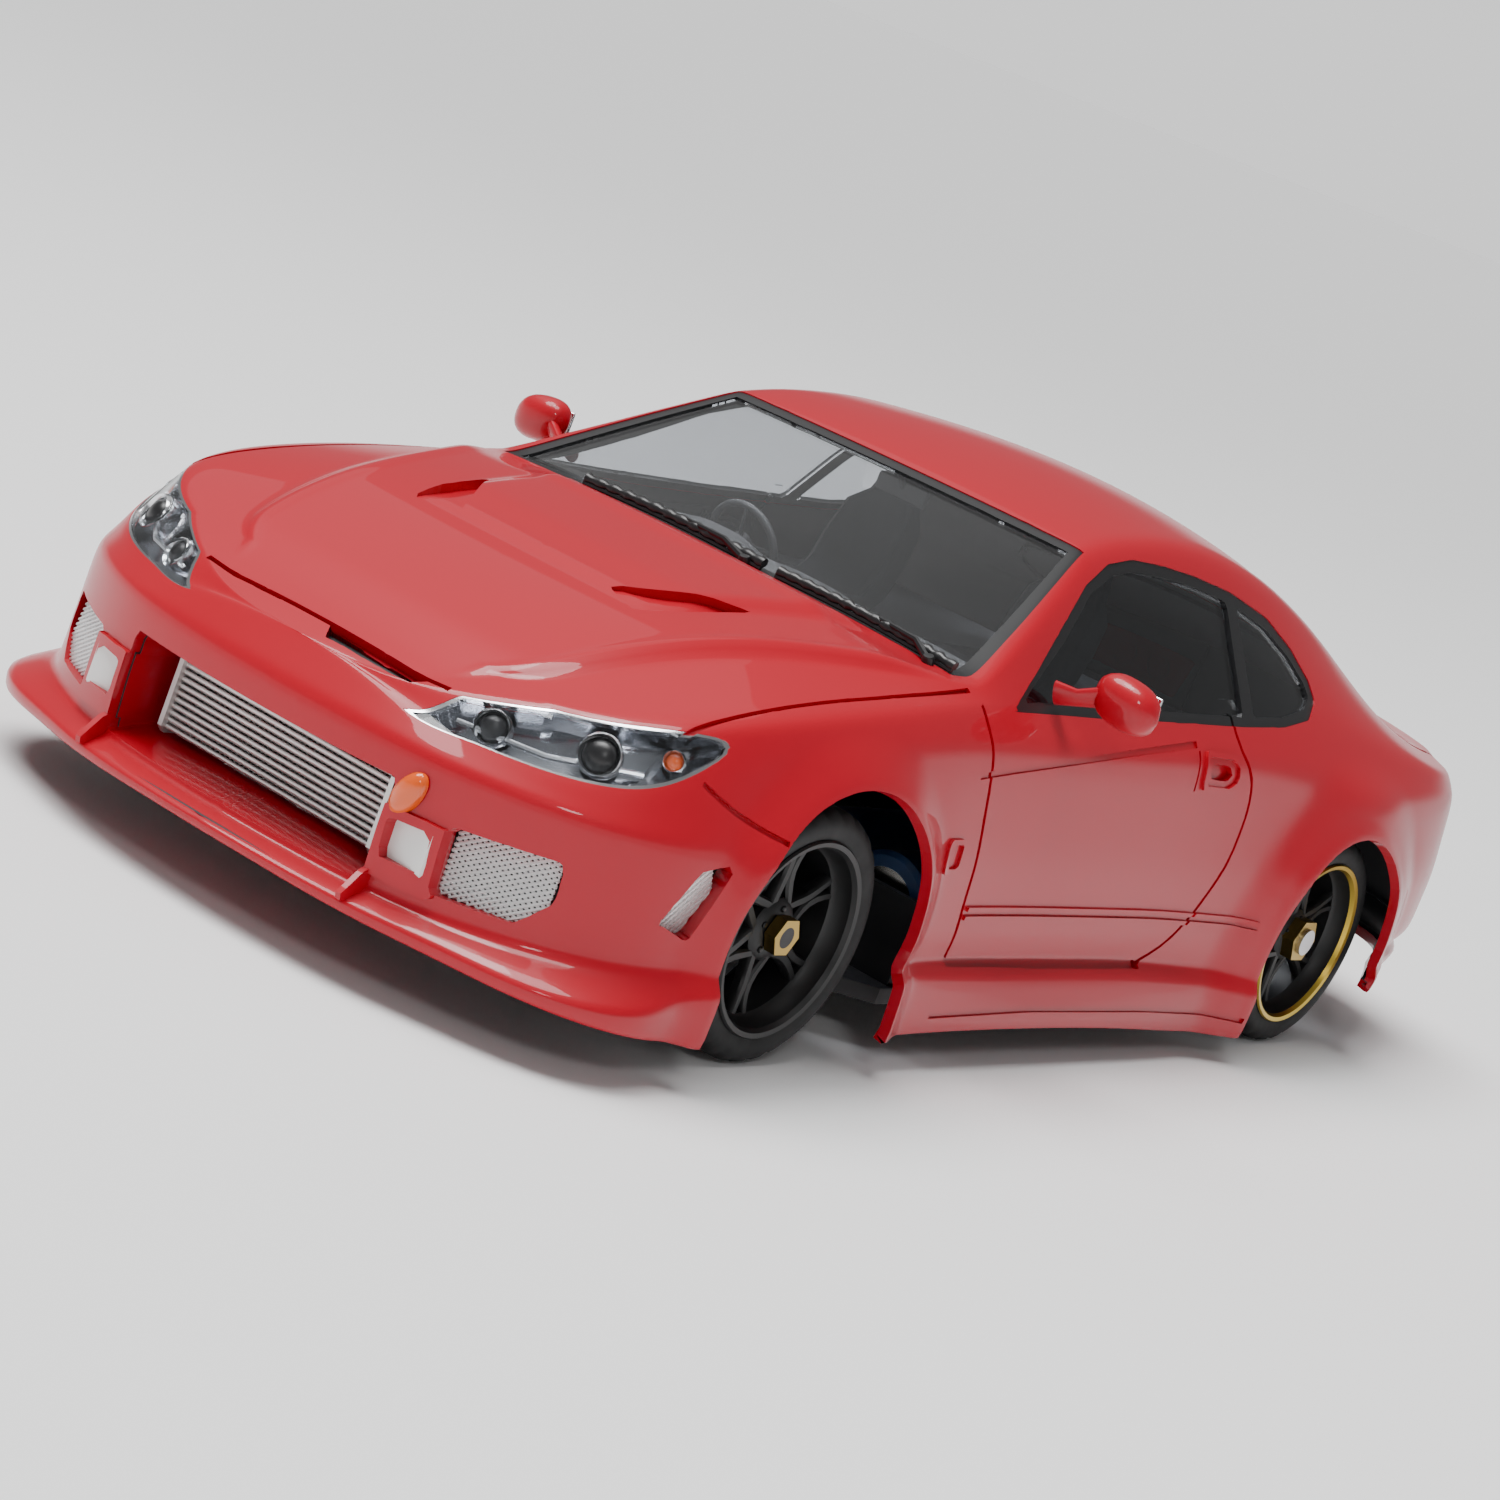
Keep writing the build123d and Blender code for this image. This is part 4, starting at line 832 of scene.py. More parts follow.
# ---------------------------------------------------------------- materials
def material(name, colour, roughness, metallic=0.0, coat=0.0):
    made = bpy.data.materials.new(name)
    made.use_nodes = True
    shader = made.node_tree.nodes["Principled BSDF"]
    shader.inputs["Base Color"].default_value = (*colour, 1)
    shader.inputs["Roughness"].default_value = roughness
    shader.inputs["Metallic"].default_value = metallic
    shader.inputs["Coat Weight"].default_value = coat
    shader.inputs["Coat Roughness"].default_value = 0.03
    if coat:
        shader.inputs["Specular IOR Level"].default_value = 0.2
    return made


def glass(name, tint):
    """Clear plastic that lets the lamps' light through to what is behind it."""
    made = material(name, tint, 0)
    tree = made.node_tree
    shader = tree.nodes["Principled BSDF"]
    shader.inputs["Transmission Weight"].default_value = 1
    shader.inputs["IOR"].default_value = 1.4
    clear = tree.nodes.new("ShaderNodeBsdfTransparent")
    clear.inputs["Color"].default_value = (*tint, 1)
    path = tree.nodes.new("ShaderNodeLightPath")
    mix = tree.nodes.new("ShaderNodeMixShader")
    either = tree.nodes.new("ShaderNodeMath")
    either.operation = "MAXIMUM"
    tree.links.new(path.outputs["Is Shadow Ray"], either.inputs[0])
    tree.links.new(path.outputs["Is Diffuse Ray"], either.inputs[1])
    tree.links.new(either.outputs["Value"], mix.inputs["Fac"])
    tree.links.new(shader.outputs["BSDF"], mix.inputs[1])
    tree.links.new(clear.outputs["BSDF"], mix.inputs[2])
    tree.links.new(mix.outputs["Shader"], tree.nodes["Material Output"].inputs["Surface"])
    return made


def speckled(made, scale, low, high):
    """Varies the roughness a little over the surface."""
    tree = made.node_tree
    noise = tree.nodes.new("ShaderNodeTexNoise")
    noise.inputs["Scale"].default_value = scale
    spread = tree.nodes.new("ShaderNodeMapRange")
    spread.inputs["To Min"].default_value = low
    spread.inputs["To Max"].default_value = high
    coordinates = tree.nodes.new("ShaderNodeTexCoord")
    tree.links.new(coordinates.outputs["Object"], noise.inputs["Vector"])
    tree.links.new(noise.outputs["Fac"], spread.inputs["Value"])
    tree.links.new(spread.outputs["Result"], tree.nodes["Principled BSDF"].inputs["Roughness"])
    return made


FINISH = {
    "body_paint": material("body_paint_red", (0.44, 0.001, 0.014), 0.42, coat=0.5),
    "black_trim": material("trim_black", (0.012, 0.012, 0.013), 0.35),
    "clear_plastic": glass("plastic_clear", (0.93, 0.95, 0.97)),
    "smoke_plastic": glass("plastic_smoke", (0.55, 0.57, 0.60)),
    "red_lens": material("lens_red", (0.11, 0.001, 0.002), 0.12, coat=1.0),
    "lamp_silver": material("silver_lamp", (0.78, 0.79, 0.81), 0.2, 1),
    "silver_core": material("silver_cooler", (0.66, 0.65, 0.64), 0.4, 0.8),
    "mesh_metal": material("metal_mesh", (0.82, 0.82, 0.82), 0.45, 0.6),
    "lamp_white": material("white_lamp", (0.80, 0.80, 0.78), 0.25),
    "cabin_black": material("black_cabin", (0.03, 0.03, 0.033), 0.6),
    "seat_cloth": material("cloth_seat", (0.05, 0.05, 0.055), 0.85),
    "chassis_black": speckled(material("black_chassis", (0.016, 0.016, 0.018), 0.5), 900, 0.4, 0.6),
    "arm_alloy": speckled(material("alloy_arm", (0.36, 0.37, 0.39), 0.35, 1), 1500, 0.3, 0.45),
    "steel": speckled(material("steel_bright", (0.6, 0.6, 0.61), 0.3, 1), 1500, 0.22, 0.4),
    "spring_steel": material("steel_spring", (0.52, 0.52, 0.53), 0.3, 1),
    "screw_steel": material("steel_screw", (0.10, 0.10, 0.11), 0.38, 1),
    "magnet_nickel": material("nickel_magnet", (0.72, 0.70, 0.66), 0.22, 1),
    "servo_black": material("black_servo", (0.02, 0.02, 0.022), 0.42),
    "nylon_white": material("white_nylon", (0.78, 0.77, 0.73), 0.5),
    "cell_wrap": material("wrap_cell", (0.05, 0.12, 0.32), 0.35),
    "board_green": speckled(material("green_board", (0.02, 0.16, 0.06), 0.45), 1200, 0.35, 0.55),
    "motor_can": material("can_motor", (0.55, 0.55, 0.56), 0.3, 1),
    "bearing_steel": material("steel_bearing", (0.66, 0.66, 0.67), 0.25, 1),
    "rim_black": material("black_rim", (0.004, 0.004, 0.0045), 0.45),
    "tyre": speckled(material("rubber_tyre", (0.006, 0.006, 0.0065), 0.7), 700, 0.6, 0.8),
    "brass": material("brass_gear", (0.72, 0.50, 0.18), 0.3, 1),
    "nut_alloy": material("alloy_nut", (0.42, 0.29, 0.08), 0.35, 1),
}
# Finishes that no CAD slot has.
amber = material("amber_lens", (0.75, 0.10, 0.01), 0.2, coat=1.0)
dark_chrome = material("dark_reflector", (0.46, 0.47, 0.50), 0.18, 1)
gold = material("gold_lip", (0.55, 0.38, 0.06), 0.3, 1)
for part in frame["record"]["subparts"]:
    node = bpy.data.objects[part["node"]]
    node.data.materials.clear()
    node.data.materials.append(FINISH[part["material_slot"]])


def placed(piece, body, slot_name, *nodes):
    """Gives a piece its body, its finish and the CAD nodes it stands for."""
    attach(piece, body)
    if slot_name:
        if not len(piece.data.materials):
            piece.data.materials.append(FINISH[slot_name])
    if nodes:
        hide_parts(*nodes)
    return piece


# ---------------------------------------------------------------- small solid shapes
class Shape:
    """Faces gathered from simple solids, in millimetres, made into one object at the end. Each solid may have
    its own paint: 0 is the slot's finish, higher numbers the others."""

    def __init__(self):
        self.points, self.faces, self.paints = [], [], []

    def add(self, points, faces, paint=0):
        start = len(self.points)
        self.points += [tuple(map(float, p)) for p in points]
        self.faces += [[start + k for k in face] for face in faces]
        self.paints += [paint] * len(faces)
        return self

    def rings(self, rings, caps=True, paint=0):
        """A skin over closed rings of points that all have the same count."""
        count = len(rings[0])
        faces = []
        for r in range(len(rings) - 1):
            for k in range(count):
                a, b = r * count + k, r * count + (k + 1) % count
                faces.append([a, b, b + count, a + count])
        if caps:
            faces.append(list(range(count))[::-1])
            faces.append([(len(rings) - 1) * count + k for k in range(count)])
        return self.add([p for ring in rings for p in ring], faces, paint)

    def block(self, centre, size, axes=None, edge=0.15, paint=0):
        """A box with chamfered edges along its second axis and soft ends."""
        axes = np.eye(3) if axes is None else np.asarray(axes, float)
        half = np.asarray(size, float) / 2
        edge = min(edge, *(half * 0.45))
        rings = []
        for along, inset in ((-1, edge), (-1, 0), (1, 0), (1, edge)):
            y = along * (half[1] - (edge if inset == 0 else 0))
            w, h = half[0] - inset, half[2] - inset
            ahead = [(w - edge, -h), (w, -h + edge), (w, h - edge), (w - edge, h)]
            loop = [(-w, -h + edge), (-w + edge, -h)] + ahead + [(-w + edge, h), (-w, h - edge)]
            rings.append([np.asarray(centre) + x * axes[0] + y * axes[1] + z * axes[2] for x, z in loop])
        return self.rings(rings, paint=paint)

    def turned(self, profile, centre=(0, 0, 0), axis=(0, 1, 0), count=32, caps=False, paint=0):
        """A turned solid; the profile is (radius, distance along the axis)."""
        axis = Vector(axis).normalized()
        first = axis.orthogonal().normalized()
        second = axis.cross(first)
        centre = Vector(centre)
        rings = [
            [centre + axis * along + first * (radius * u) + second * (radius * v) for u, v in circle(count)]
            for radius, along in profile
        ]
        return self.rings(rings, caps=caps, paint=paint)

    def tube(self, path, radius, count=10, paint=0, squash=(1, 1)):
        """A round bar along a path; the radius may be one number or one for each point."""
        path = [Vector(p) for p in path]
        radii = [radius] * len(path) if np.isscalar(radius) else radius
        rings, side = [], None
        for k, p in enumerate(path):
            way = (path[min(k + 1, len(path) - 1)] - path[max(k - 1, 0)]).normalized()
            side = (way.orthogonal() if side is None else side - way * side.dot(way)).normalized()
            up = way.cross(side)
            wide, tall = radii[k] * squash[0], radii[k] * squash[1]
            rings.append([p + side * (wide * u) + up * (tall * v) for u, v in circle(count)])
        return self.rings(rings, paint=paint)

    def place(self, name, body, slot, *nodes, also=(), sharp=38):
        """Makes the object: its slot's finish, then other paints; folds over `sharp` degrees stay crisp."""
        mesh = bpy.data.meshes.new(name)
        mesh.from_pydata([tuple(c * MM for c in p) for p in self.points], [], self.faces)
        mesh.polygons.foreach_set("material_index", np.asarray(self.paints, np.int32))
        work = bmesh.new()
        work.from_mesh(mesh)
        bmesh.ops.remove_doubles(work, verts=work.verts, dist=1e-7)
        bmesh.ops.recalc_face_normals(work, faces=work.faces)
        for edge in work.edges:
            edge.smooth = len(edge.link_faces) == 2 and edge.calc_face_angle(0) < math.radians(sharp)
        for face in work.faces:
            face.smooth = True
        work.to_mesh(mesh)
        work.free()
        for finish in ([FINISH[slot]] if slot else []) + list(also):
            mesh.materials.append(finish)
        return placed(into_scene(name, mesh), body, slot, *nodes)


# The skin's pieces: name, tag, finish, wall and how far they are let in, then the CAD node they stand for.
PAINTED, FRAME = ("body_paint", WALL, 0), ("black_trim", 0.9, 0.12)
BODY_PIECES = [
    ("body_skin", SHELL, *PAINTED, "body_shell"),
    ("front_bumper_skin", BUMPER, *PAINTED, "front_bumper"),
    ("front_lip_skin", LIP, *PAINTED, "front_lip"),
    ("side_skirt_skins", SKIRT, *PAINTED, "side_skirts"),
    ("rear_bumper_skin", REAR_BUMPER, *PAINTED, "rear_bumper"),
    ("windshield_frame", SCREEN_SEAL, *FRAME),
    ("windshield_glass", SCREEN, "clear_plastic", 0.6, 0.3, "windshield"),
    ("rear_window_frame", REAR_SEAL, *FRAME),
    ("rear_window_glass", REAR_GLASS, "smoke_plastic", 0.6, 0.3, "rear_window"),
    ("side_window_frames", SIDE_SEAL, *FRAME),
    ("door_window_glass", SIDE_GLASS, "smoke_plastic", 0.6, 0.45, "side_windows"),
    ("quarter_window_glass", QUARTER, "smoke_plastic", 0.6, 0.45),
    # black floors: painted shade inside the bonnet slot and the tail outlet
    ("slot_liners", SHADE_FLOOR, "black_trim", 0.5, 0),
    ("headlight_rims", LENS_RIM, "lamp_silver", 0.8, 0.05),
    ("headlight_covers", LENS, "clear_plastic", 0.4, 0.15, "headlight_lenses"),
    ("taillight_covers", TAIL, "red_lens", 0.9, 0.25, "taillights"),
]
for name, tag, finish, wall, depth, *nodes in BODY_PIECES:
    points, normals, outward, tris = skin.take(tag)
    *arrays, inner = thickened(points - depth * outward, normals, outward, tris, wall)
    painted = finish == "body_paint"
    piece = mesh_object(name, *arrays, inner if painted else None)
    piece.data.materials.append(FINISH[finish])
    # The painted pieces' inner faces take the cabin's black: partly the shell's bare inside, partly painted
    # shade for the dark cabin and wheel arches.
    if painted:
        piece.data.materials.append(FINISH["cabin_black"])
    placed(piece, "body", finish, *nodes)

# ---------------------------------------------------------------- behind the front openings
TUBES, FIN_STEPS, FIN_X = 11, 84, (CORE_X - 0.75, CORE_X - 2.6)
core = Shape()
pitch = (CORE_HIGH - CORE_LOW) / TUBES
for k in range(TUBES):
    z = CORE_LOW + pitch * (k + 0.5)
    core.tube([(CORE_X - 0.5, y, z) for y in (-CORE_HALF, CORE_HALF)], pitch * 0.36, squash=(1.25, 1))
for k in range(TUBES - 1):
    low, high = CORE_LOW + pitch * (k + 0.75), CORE_LOW + pitch * (k + 1.25)
    folds = []
    for j in range(FIN_STEPS + 1):
        y, z = -CORE_HALF + 2 * CORE_HALF * j / FIN_STEPS, low if j % 2 else high
        folds.append([(FIN_X[0], y, z), (FIN_X[1], y, z), (FIN_X[1], y, z + 0.06), (FIN_X[0], y, z + 0.06)])
    core.rings(folds)
tank = [(-3.4, CORE_LOW - 0.3), (-0.3, CORE_LOW - 0.3), (0.3, CORE_LOW + 0.3), (0.3, CORE_HIGH - 0.3),
        (-0.3, CORE_HIGH + 0.3), (-3.4, CORE_HIGH + 0.3)]
for sign in SIDES:
    core.rings([[(CORE_X + x, sign * y, z) for x, z in tank] for y in (CORE_HALF, CORE_HALF + 0.5)])
# A black sheet behind the core: painted shade seen between the tubes and fins.
shade_sheet_size = (0.5, 2 * CORE_HALF, CORE_HIGH - CORE_LOW)
core.block((CORE_X - 3.2, 0, (CORE_LOW + CORE_HIGH) / 2), shade_sheet_size, paint=1)
core.place("intercooler_core", "body", "silver_core", "intercooler", also=[FINISH["black_trim"]])


WIRE, WIRE_SPACING, WIRE_SLOPE = 0.15, 0.8, 0.62


def woven(shape, centre, right, up, wide, tall):
    """Diamond mesh that fills a rectangle: two sets of wires that cross at a slant."""
    centre, right, up = Vector(centre), Vector(right).normalized(), Vector(up).normalized()
    up = (up - right * up.dot(right)).normalized()
    out = right.cross(up)
    reach = wide / 2 + tall / 2 / WIRE_SLOPE
    for lean in (-1, 1):
        lift = out * (0.05 * lean)
        run = lean * tall / WIRE_SLOPE
        for k in range(int(2 * reach / WIRE_SPACING) + 1):
            start = -reach + k * WIRE_SPACING - run / 2
            low_t, high_t = sorted((bound - start) / run for bound in (-wide / 2, wide / 2))
            low_t, high_t = max(low_t, 0), min(high_t, 1)
            if high_t - low_t < 0.02:
                continue
            middle = centre + right * start - up * (tall / 2) + lift
            ends = [middle + (right * run + up * tall) * t for t in (low_t, high_t)]
            shape.tube(ends, WIRE, count=5)


mesh, lamps, fins = Shape(), Shape(), Shape()
FIN = [(89.4, 10.2), (90.6, 9.6), (92.5, 7.6), (92.3, 7), (89.4, 7)]
for sign in SIDES:
    woven(mesh, (84.5, sign * 25, 13.3), (0.44 * sign, -1, 0), (-0.12, 0, 1), 9.2, 6.6)
    woven(mesh, (72.3, sign * 34.3, 16.2), (1, -0.30 * sign, -0.45), (0.35, 0, 1), 5.4, 9)
    lamps.block((88.6, sign * 18.4, 13), (0.8, 4.4, 4), edge=0.3)
    fins.rings([[(x, sign * (16.0 + across), z) for x, z in FIN] for across in (-0.28, 0.28)])
mesh.place("bumper_mesh_panels", "body", "mesh_metal", "bumper_meshes")
lamps.place("bumper_lamp_squares", "body", "lamp_white", "bumper_lamps")
fins.place("lip_gussets", "body", "body_paint")

# The orange marker: an oval dome, on the left only.
marker = Shape().rings([
    [(89.95 + rise, 17.1 + reach * (1.35 * u + 0.63 * v), 17.0 + 2.1 * reach * v) for u, v in circle(28)]
    for reach, rise in ((1, -0.5), (1, 0), (0.85, 0.4), (0.55, 0.68), (0.05, 0.75))
])
marker.place("front_marker_lens", "body", None, also=[amber])

# ---------------------------------------------------------------- inside the headlamps
points, normals, outward, tris = skin.take(LENS, LENS_RIM)
bowl = Skin(points - 0.5 * outward, normals, np.hstack([np.zeros((len(points), 2)), outward]), tris)
bowl.wall(np.ones(len(tris), bool), sink(2.6), 0)
points, normals, outward, tris = bowl.take(0)
bowls = mesh_object("headlight_bowls", points, normals, tris)
bowls.data.materials.append(dark_chrome)
placed(bowls, "body", "lamp_silver", "headlight_buckets")
# Two dark projectors and an amber bulb a side: place, radius and the dome's paint.
BULBS = (((84.6, 19, 23.9), 1.35, 1), ((80.2, 26.9, 25.1), 1.6, 1), ((75.2, 30.6, 26.4), 0.8, 2))
DOME = (0, 0.4, 0.8, 1.15, 1.45)
COLLAR = [(1.15, -1.6), (1.25, 0.1), (1.12, 0.45), (1, 0.2), (0.92, -0.2)]
projectors = Shape()
for sign in SIDES:
    way = Vector((1, 0.45 * sign, 0.35))
    for (x, y, z), radius, cap in BULBS:
        projectors.turned([(radius * wide, along) for wide, along in COLLAR], (x, sign * y, z), way, 28)
        dome = [(0.92 * radius * math.cos(a), 0.55 * radius * math.sin(a) - 0.2) for a in DOME]
        projectors.turned(dome, (x, sign * y, z), way, 28, caps=True, paint=cap)
    strip = [(86, sign * 16.4, 23.3), (82.6, sign * 23.6, 23.4), (77.2, sign * 29.6, 24.6)]
    projectors.tube(strip, 0.28, 8)
paints = [FINISH["lamp_silver"], FINISH["black_trim"], amber]
projectors.place("headlight_projectors", "body", None, also=paints)

# ---------------------------------------------------------------- mirrors, wipers and the cabin
def squarer(value, power):
    return math.copysign(abs(value) ** power, value)


# A pod that swells ahead more than behind, a stalk and the glass.
MIRROR_Y, MIRROR_HALF = 37.6, 3.4
mirrors = Shape()
for sign in SIDES:
    rings = []
    for share in np.linspace(-1, 1, 15):
        swell = math.sqrt(max(1 - abs(share) ** 2.6, 0)) * 0.97 + 0.03
        rings.append([
            (
                17.0 + (2.5 if u > 0 else 1.4) * squarer(u, 0.75) * swell - 0.3 * share,
                sign * (MIRROR_Y + MIRROR_HALF * share),
                38.0 + 2.45 * squarer(v, 0.8) * swell - 0.4 * share,
            )
            for u, v in circle(24)
        ])
    mirrors.rings(rings)
    stalk = [(19.4, sign * 31.3, 36.4), (18.9, sign * 33.4, 36.8), (18, sign * 35.6, 37.8)]
    mirrors.tube(stalk, [1.15, 0.8, 1], 14, squash=(1.3, 0.75))
    mirrors.block((15.55, sign * MIRROR_Y, 38), (0.3, 4.9, 3.3), edge=0.14, paint=1)
mirrors.place("door_mirrors", "body", "body_paint", "mirrors", also=[FINISH["lamp_silver"]])


def screen_point(x, y, lift=0.0):
    """A point on the windscreen, in millimetres."""
    (centre_z,), = along_top(CENTRE_LINE, np.array([x]))
    (edge_y,), (edge_z,) = along_top(CREASE_LINE, np.array([x]))
    return Vector((x + 0.45 * lift, y, centre_z + (edge_z - centre_z) * (y / edge_y) ** 2 + 0.9 * lift))


wiper_draw = random.Random(7)
wipers = Shape()
for start_y, end_y, pivot_y in ((28.2, 7.2, 26), (5.4, -17.5, 3.4)):
    path, radii = [], []
    for k, share in enumerate(np.linspace(0, 1, 45).tolist()):
        y = start_y + (end_y - start_y) * share
        x = 34.0 - 1.0 * (y / 30) ** 2 - 0.5 * math.sin(math.pi * share)
        path.append(screen_point(x, y, 0.75))
        radii.append(0.42 + 0.10 * math.sin(k * 1.9) + wiper_draw.uniform(-0.05, 0.05))
    wipers.tube(path, radii, 10, squash=(1, 1.25))
    wipers.tube([screen_point(p.x + 0.2, p.y, 0.25) for p in path], 0.22, 6)
    hub = screen_point(34.6, pivot_y, 0.3)
    wipers.turned([(0, 0.55), (0.5, 0.5), (0.62, 0.2), (0.62, -0.9)], hub, (0.35, 0, 1), 18)
    arm = [hub, path[10] + Vector((0.3, 0, 0.3)), path[20] + Vector((0, 0, 0.25))]
    wipers.tube(arm, [0.4, 0.34, 0.24], 8)
wipers.place("windshield_wipers", "body", "black_trim", "wipers")

dash = Shape()
DASH = [
    (30.5, 33.2), (27.5, 34.7), (22, 35.2), (17, 34.6), (14.6, 33), (14.8, 31.6), (16.4, 30.6),
    (17.2, 28.9), (30.5, 28.9),
]
rings = []
for y in np.linspace(-28.5, 28.5, 39):
    hood = 1.3 * math.exp(-(((y + 12) / 5) ** 4))  # over the instruments
    pod = 0.5 * math.exp(-((y / 5) ** 4))  # in the middle
    narrow = 2.2 * (abs(y) / 28.5) ** 3
    loop = []
    for x, z in DASH:
        lift = (hood + pod) * step(24, 18, x) * step(32, 33.5, z) - 0.3 * (abs(y) / 28.5) ** 2
        loop.append((x - (narrow if x > 27 else 0) - (0.8 * hood if x < 16 else 0), y, z + lift))
    rings.append(loop)
dash.rings(rings)
dash.block((14.7, 1, 31), (0.5, 5.4, 2.6), edge=0.2)
for y in (-24, 4.2, 24):
    dash.turned([(0, 0.25), (0.9, 0.2), (1.1, 0), (1.1, -0.6)], (14.5, y, 32.2), (-1, 0, 0.15), 18)
WHEEL_CENTRE, WHEEL_AXIS = Vector((12.6, -12, 34.6)), Vector((-0.92, 0, 0.38)).normalized()
across = Vector((0, 1, 0))
upward = WHEEL_AXIS.cross(across)
dash.tube([WHEEL_CENTRE + 4.1 * (across * u + upward * v) for u, v in circle(40) + circle(1)], 0.42, 10)
for u, v in ((1, 0), (-1, 0), (0, -1)):
    tip = WHEEL_CENTRE + 4.0 * (across * u + upward * v)
    spoke = [WHEEL_CENTRE - WHEEL_AXIS * 0.5, WHEEL_CENTRE.lerp(tip, 0.5) - WHEEL_AXIS * 0.4, tip]
    dash.tube(spoke, [0.55, 0.4, 0.35], 8, squash=(1.6, 0.6))
boss = [(0, 0.4), (0.9, 0.3), (1.2, -0.1), (1.2, -0.9), (0.7, -1.4), (0.7, -4)]
dash.turned(boss, WHEEL_CENTRE, WHEEL_AXIS, 22)
dash.place("cabin_dashboard", "body", "cabin_black", "dashboard")

seat = Shape()
# From the cushion's front up the back to the headrest, as (x, z, half width); bolsters in the section.
SEAT_PATH = [
    (4.6, 30.6, 4.6), (1.5, 30.9, 4.9), (-3, 30.2, 5), (-6.4, 30.4, 4.9), (-8.8, 32.6, 4.9),
    (-10.2, 36.4, 5), (-11.4, 39.8, 4.6), (-12.2, 41.8, 3), (-12.6, 43.4, 2.6), (-12.9, 44.8, 2.2),
]
HALF_SECTION = [(0.5, 0.35), (0.66, 1.1), (0.86, 1.5), (1, 0.9), (1, -0.9)]
SECTION = [(-u, v) for u, v in reversed(HALF_SECTION)] + HALF_SECTION
NECK = 7
for sign in SIDES:
    rings = []
    for k, (x, z, half) in enumerate(SEAT_PATH):
        before, after = SEAT_PATH[max(k - 1, 0)], SEAT_PATH[min(k + 1, len(SEAT_PATH) - 1)]
        way = Vector((after[0] - before[0], 0, after[1] - before[1])).normalized()
        out = Vector((way.z, 0, -way.x))
        out = out if out.z + out.x > 0 else -out
        swell = 1.0 if k < NECK else 0.35
        rings.append([
            Vector((x, sign * 12.2 + half * u, z)) + out * (v if v < 0.5 else 0.35 + (v - 0.35) * swell)
            for u, v in SECTION
        ])
    seat.rings(rings)
seat.place("cabin_seats", "body", "seat_cloth", "seats", sharp=50)

inner_mirror = Shape()
inner_mirror.block((6.9, 0, 45.6), (0.7, 6.4, 1.9), edge=0.3)
inner_mirror.tube([(7, 0, 45.9), (8.6, 0, 47.4)], 0.35, 8)
inner_mirror.place("cabin_mirror", "body", "cabin_black")

# ---------------------------------------------------------------- springs, cells and motor
def coil(node, body, wire, turns, joint):
    """A wound spring with closed ends, in place of the CAD one. The joint it is given is not used."""
    centre, low, high = limits(node)
    radius = (high[0] - low[0]) / 2 - wire
    rise = high[2] - low[2] - 2 * wire
    count = turns * 16
    path = []
    for k, (u, v) in enumerate(circle(count + 1, turns * (count + 1) / count)):
        share = k / count
        z = low[2] + wire + rise * step(0.08, 0.92, share) * 0.35 + rise * share * 0.65
        path.append((centre[0] + radius * u, centre[1] + radius * v, z))
    spring = Shape().tube(path, wire, count=8).place("coil_" + node, body, "spring_steel", node)
    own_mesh(spring)


for side in ("left", "right"):
    node, body, joint = (first + side for first in ("front_spring_", "kingpin_carrier_", "front_suspension_"))
    coil(node, body, 0.22, 4, joint)
coil("pod_spring", "pod", 0.25, 4, "pod_pitch")

CELL_R, CELL_BACK, CELL_FRONT, CELL_Z = 5.2, -19.2, 24.4, 11.5
sleeve = [
    (3.6, CELL_BACK), (4.7, CELL_BACK), (CELL_R, CELL_BACK + 0.45), (CELL_R, CELL_FRONT - 0.45),
    (4.7, CELL_FRONT), (3.6, CELL_FRONT), (3.6, CELL_FRONT - 0.3), (3.6, CELL_BACK + 0.3), (3.6, CELL_BACK),
]
plus_end = [(3.6, -0.1), (1.9, -0.1), (1.8, 1), (1.5, 1.2), (0.01, 1.2)]
minus_end = [(3.6, 0.12), (0.01, 0.12)]
cells = Shape()
for y in (-24.8, -14.1, 14.1, 24.8):
    cells.turned(sleeve, (0, y, CELL_Z), (1, 0, 0), count=48)
    cells.turned(plus_end, (CELL_FRONT, y, CELL_Z), (1, 0, 0), count=36, paint=1)
    cells.turned(minus_end, (CELL_BACK, y, CELL_Z), (1, 0, 0), count=36, paint=1)
cells.place("battery_cell_group", "chassis", "cell_wrap", "battery_cells", also=[FINISH["magnet_nickel"]])

# The motor: a can with a joint line round it, a boss at each end and six vents in the right end, drawn as
# black patches that are painted shade for their openings.
(motor_x, _, motor_z), motor_low, motor_high = limits("motor")
CAN_R = (motor_high[2] - motor_low[2]) / 2
RIGHT_END, LEFT_END = motor_low[1], motor_high[1] - 1.6
can = [(0.8, 0), (2.4, 0), (2.6, 0.5), (CAN_R - 0.8, 0.5), (CAN_R, 1.2), (CAN_R, 4.2), (CAN_R - 0.35, 4.4)]
can += [(CAN_R - 0.35, 4.9), (CAN_R, 5.1)]
can = [(radius, RIGHT_END + along) for radius, along in can]
cap = [(CAN_R, -0.6), (CAN_R - 0.6, 0), (3, 0), (3, 1.6), (0.8, 1.6)]
can += [(radius, LEFT_END + along) for radius, along in cap]
motor = Shape().turned(can + can[:1], (motor_x, 0, motor_z), count=56)
for u, v in circle(6):
    vent = (motor_x + 4.6 * u, RIGHT_END + 0.35, motor_z + 4.6 * v)
    # Each vent is a black patch: painted shade in place of an opening.
    motor.block(vent, (2.2, 0.5, 1.4), axes=[(u, 0, v), (0, 1, 0), (-v, 0, u)], edge=0.12, paint=1)
motor.place("motor_can_vented", "pod", "motor_can", "motor", also=[FINISH["black_trim"]])

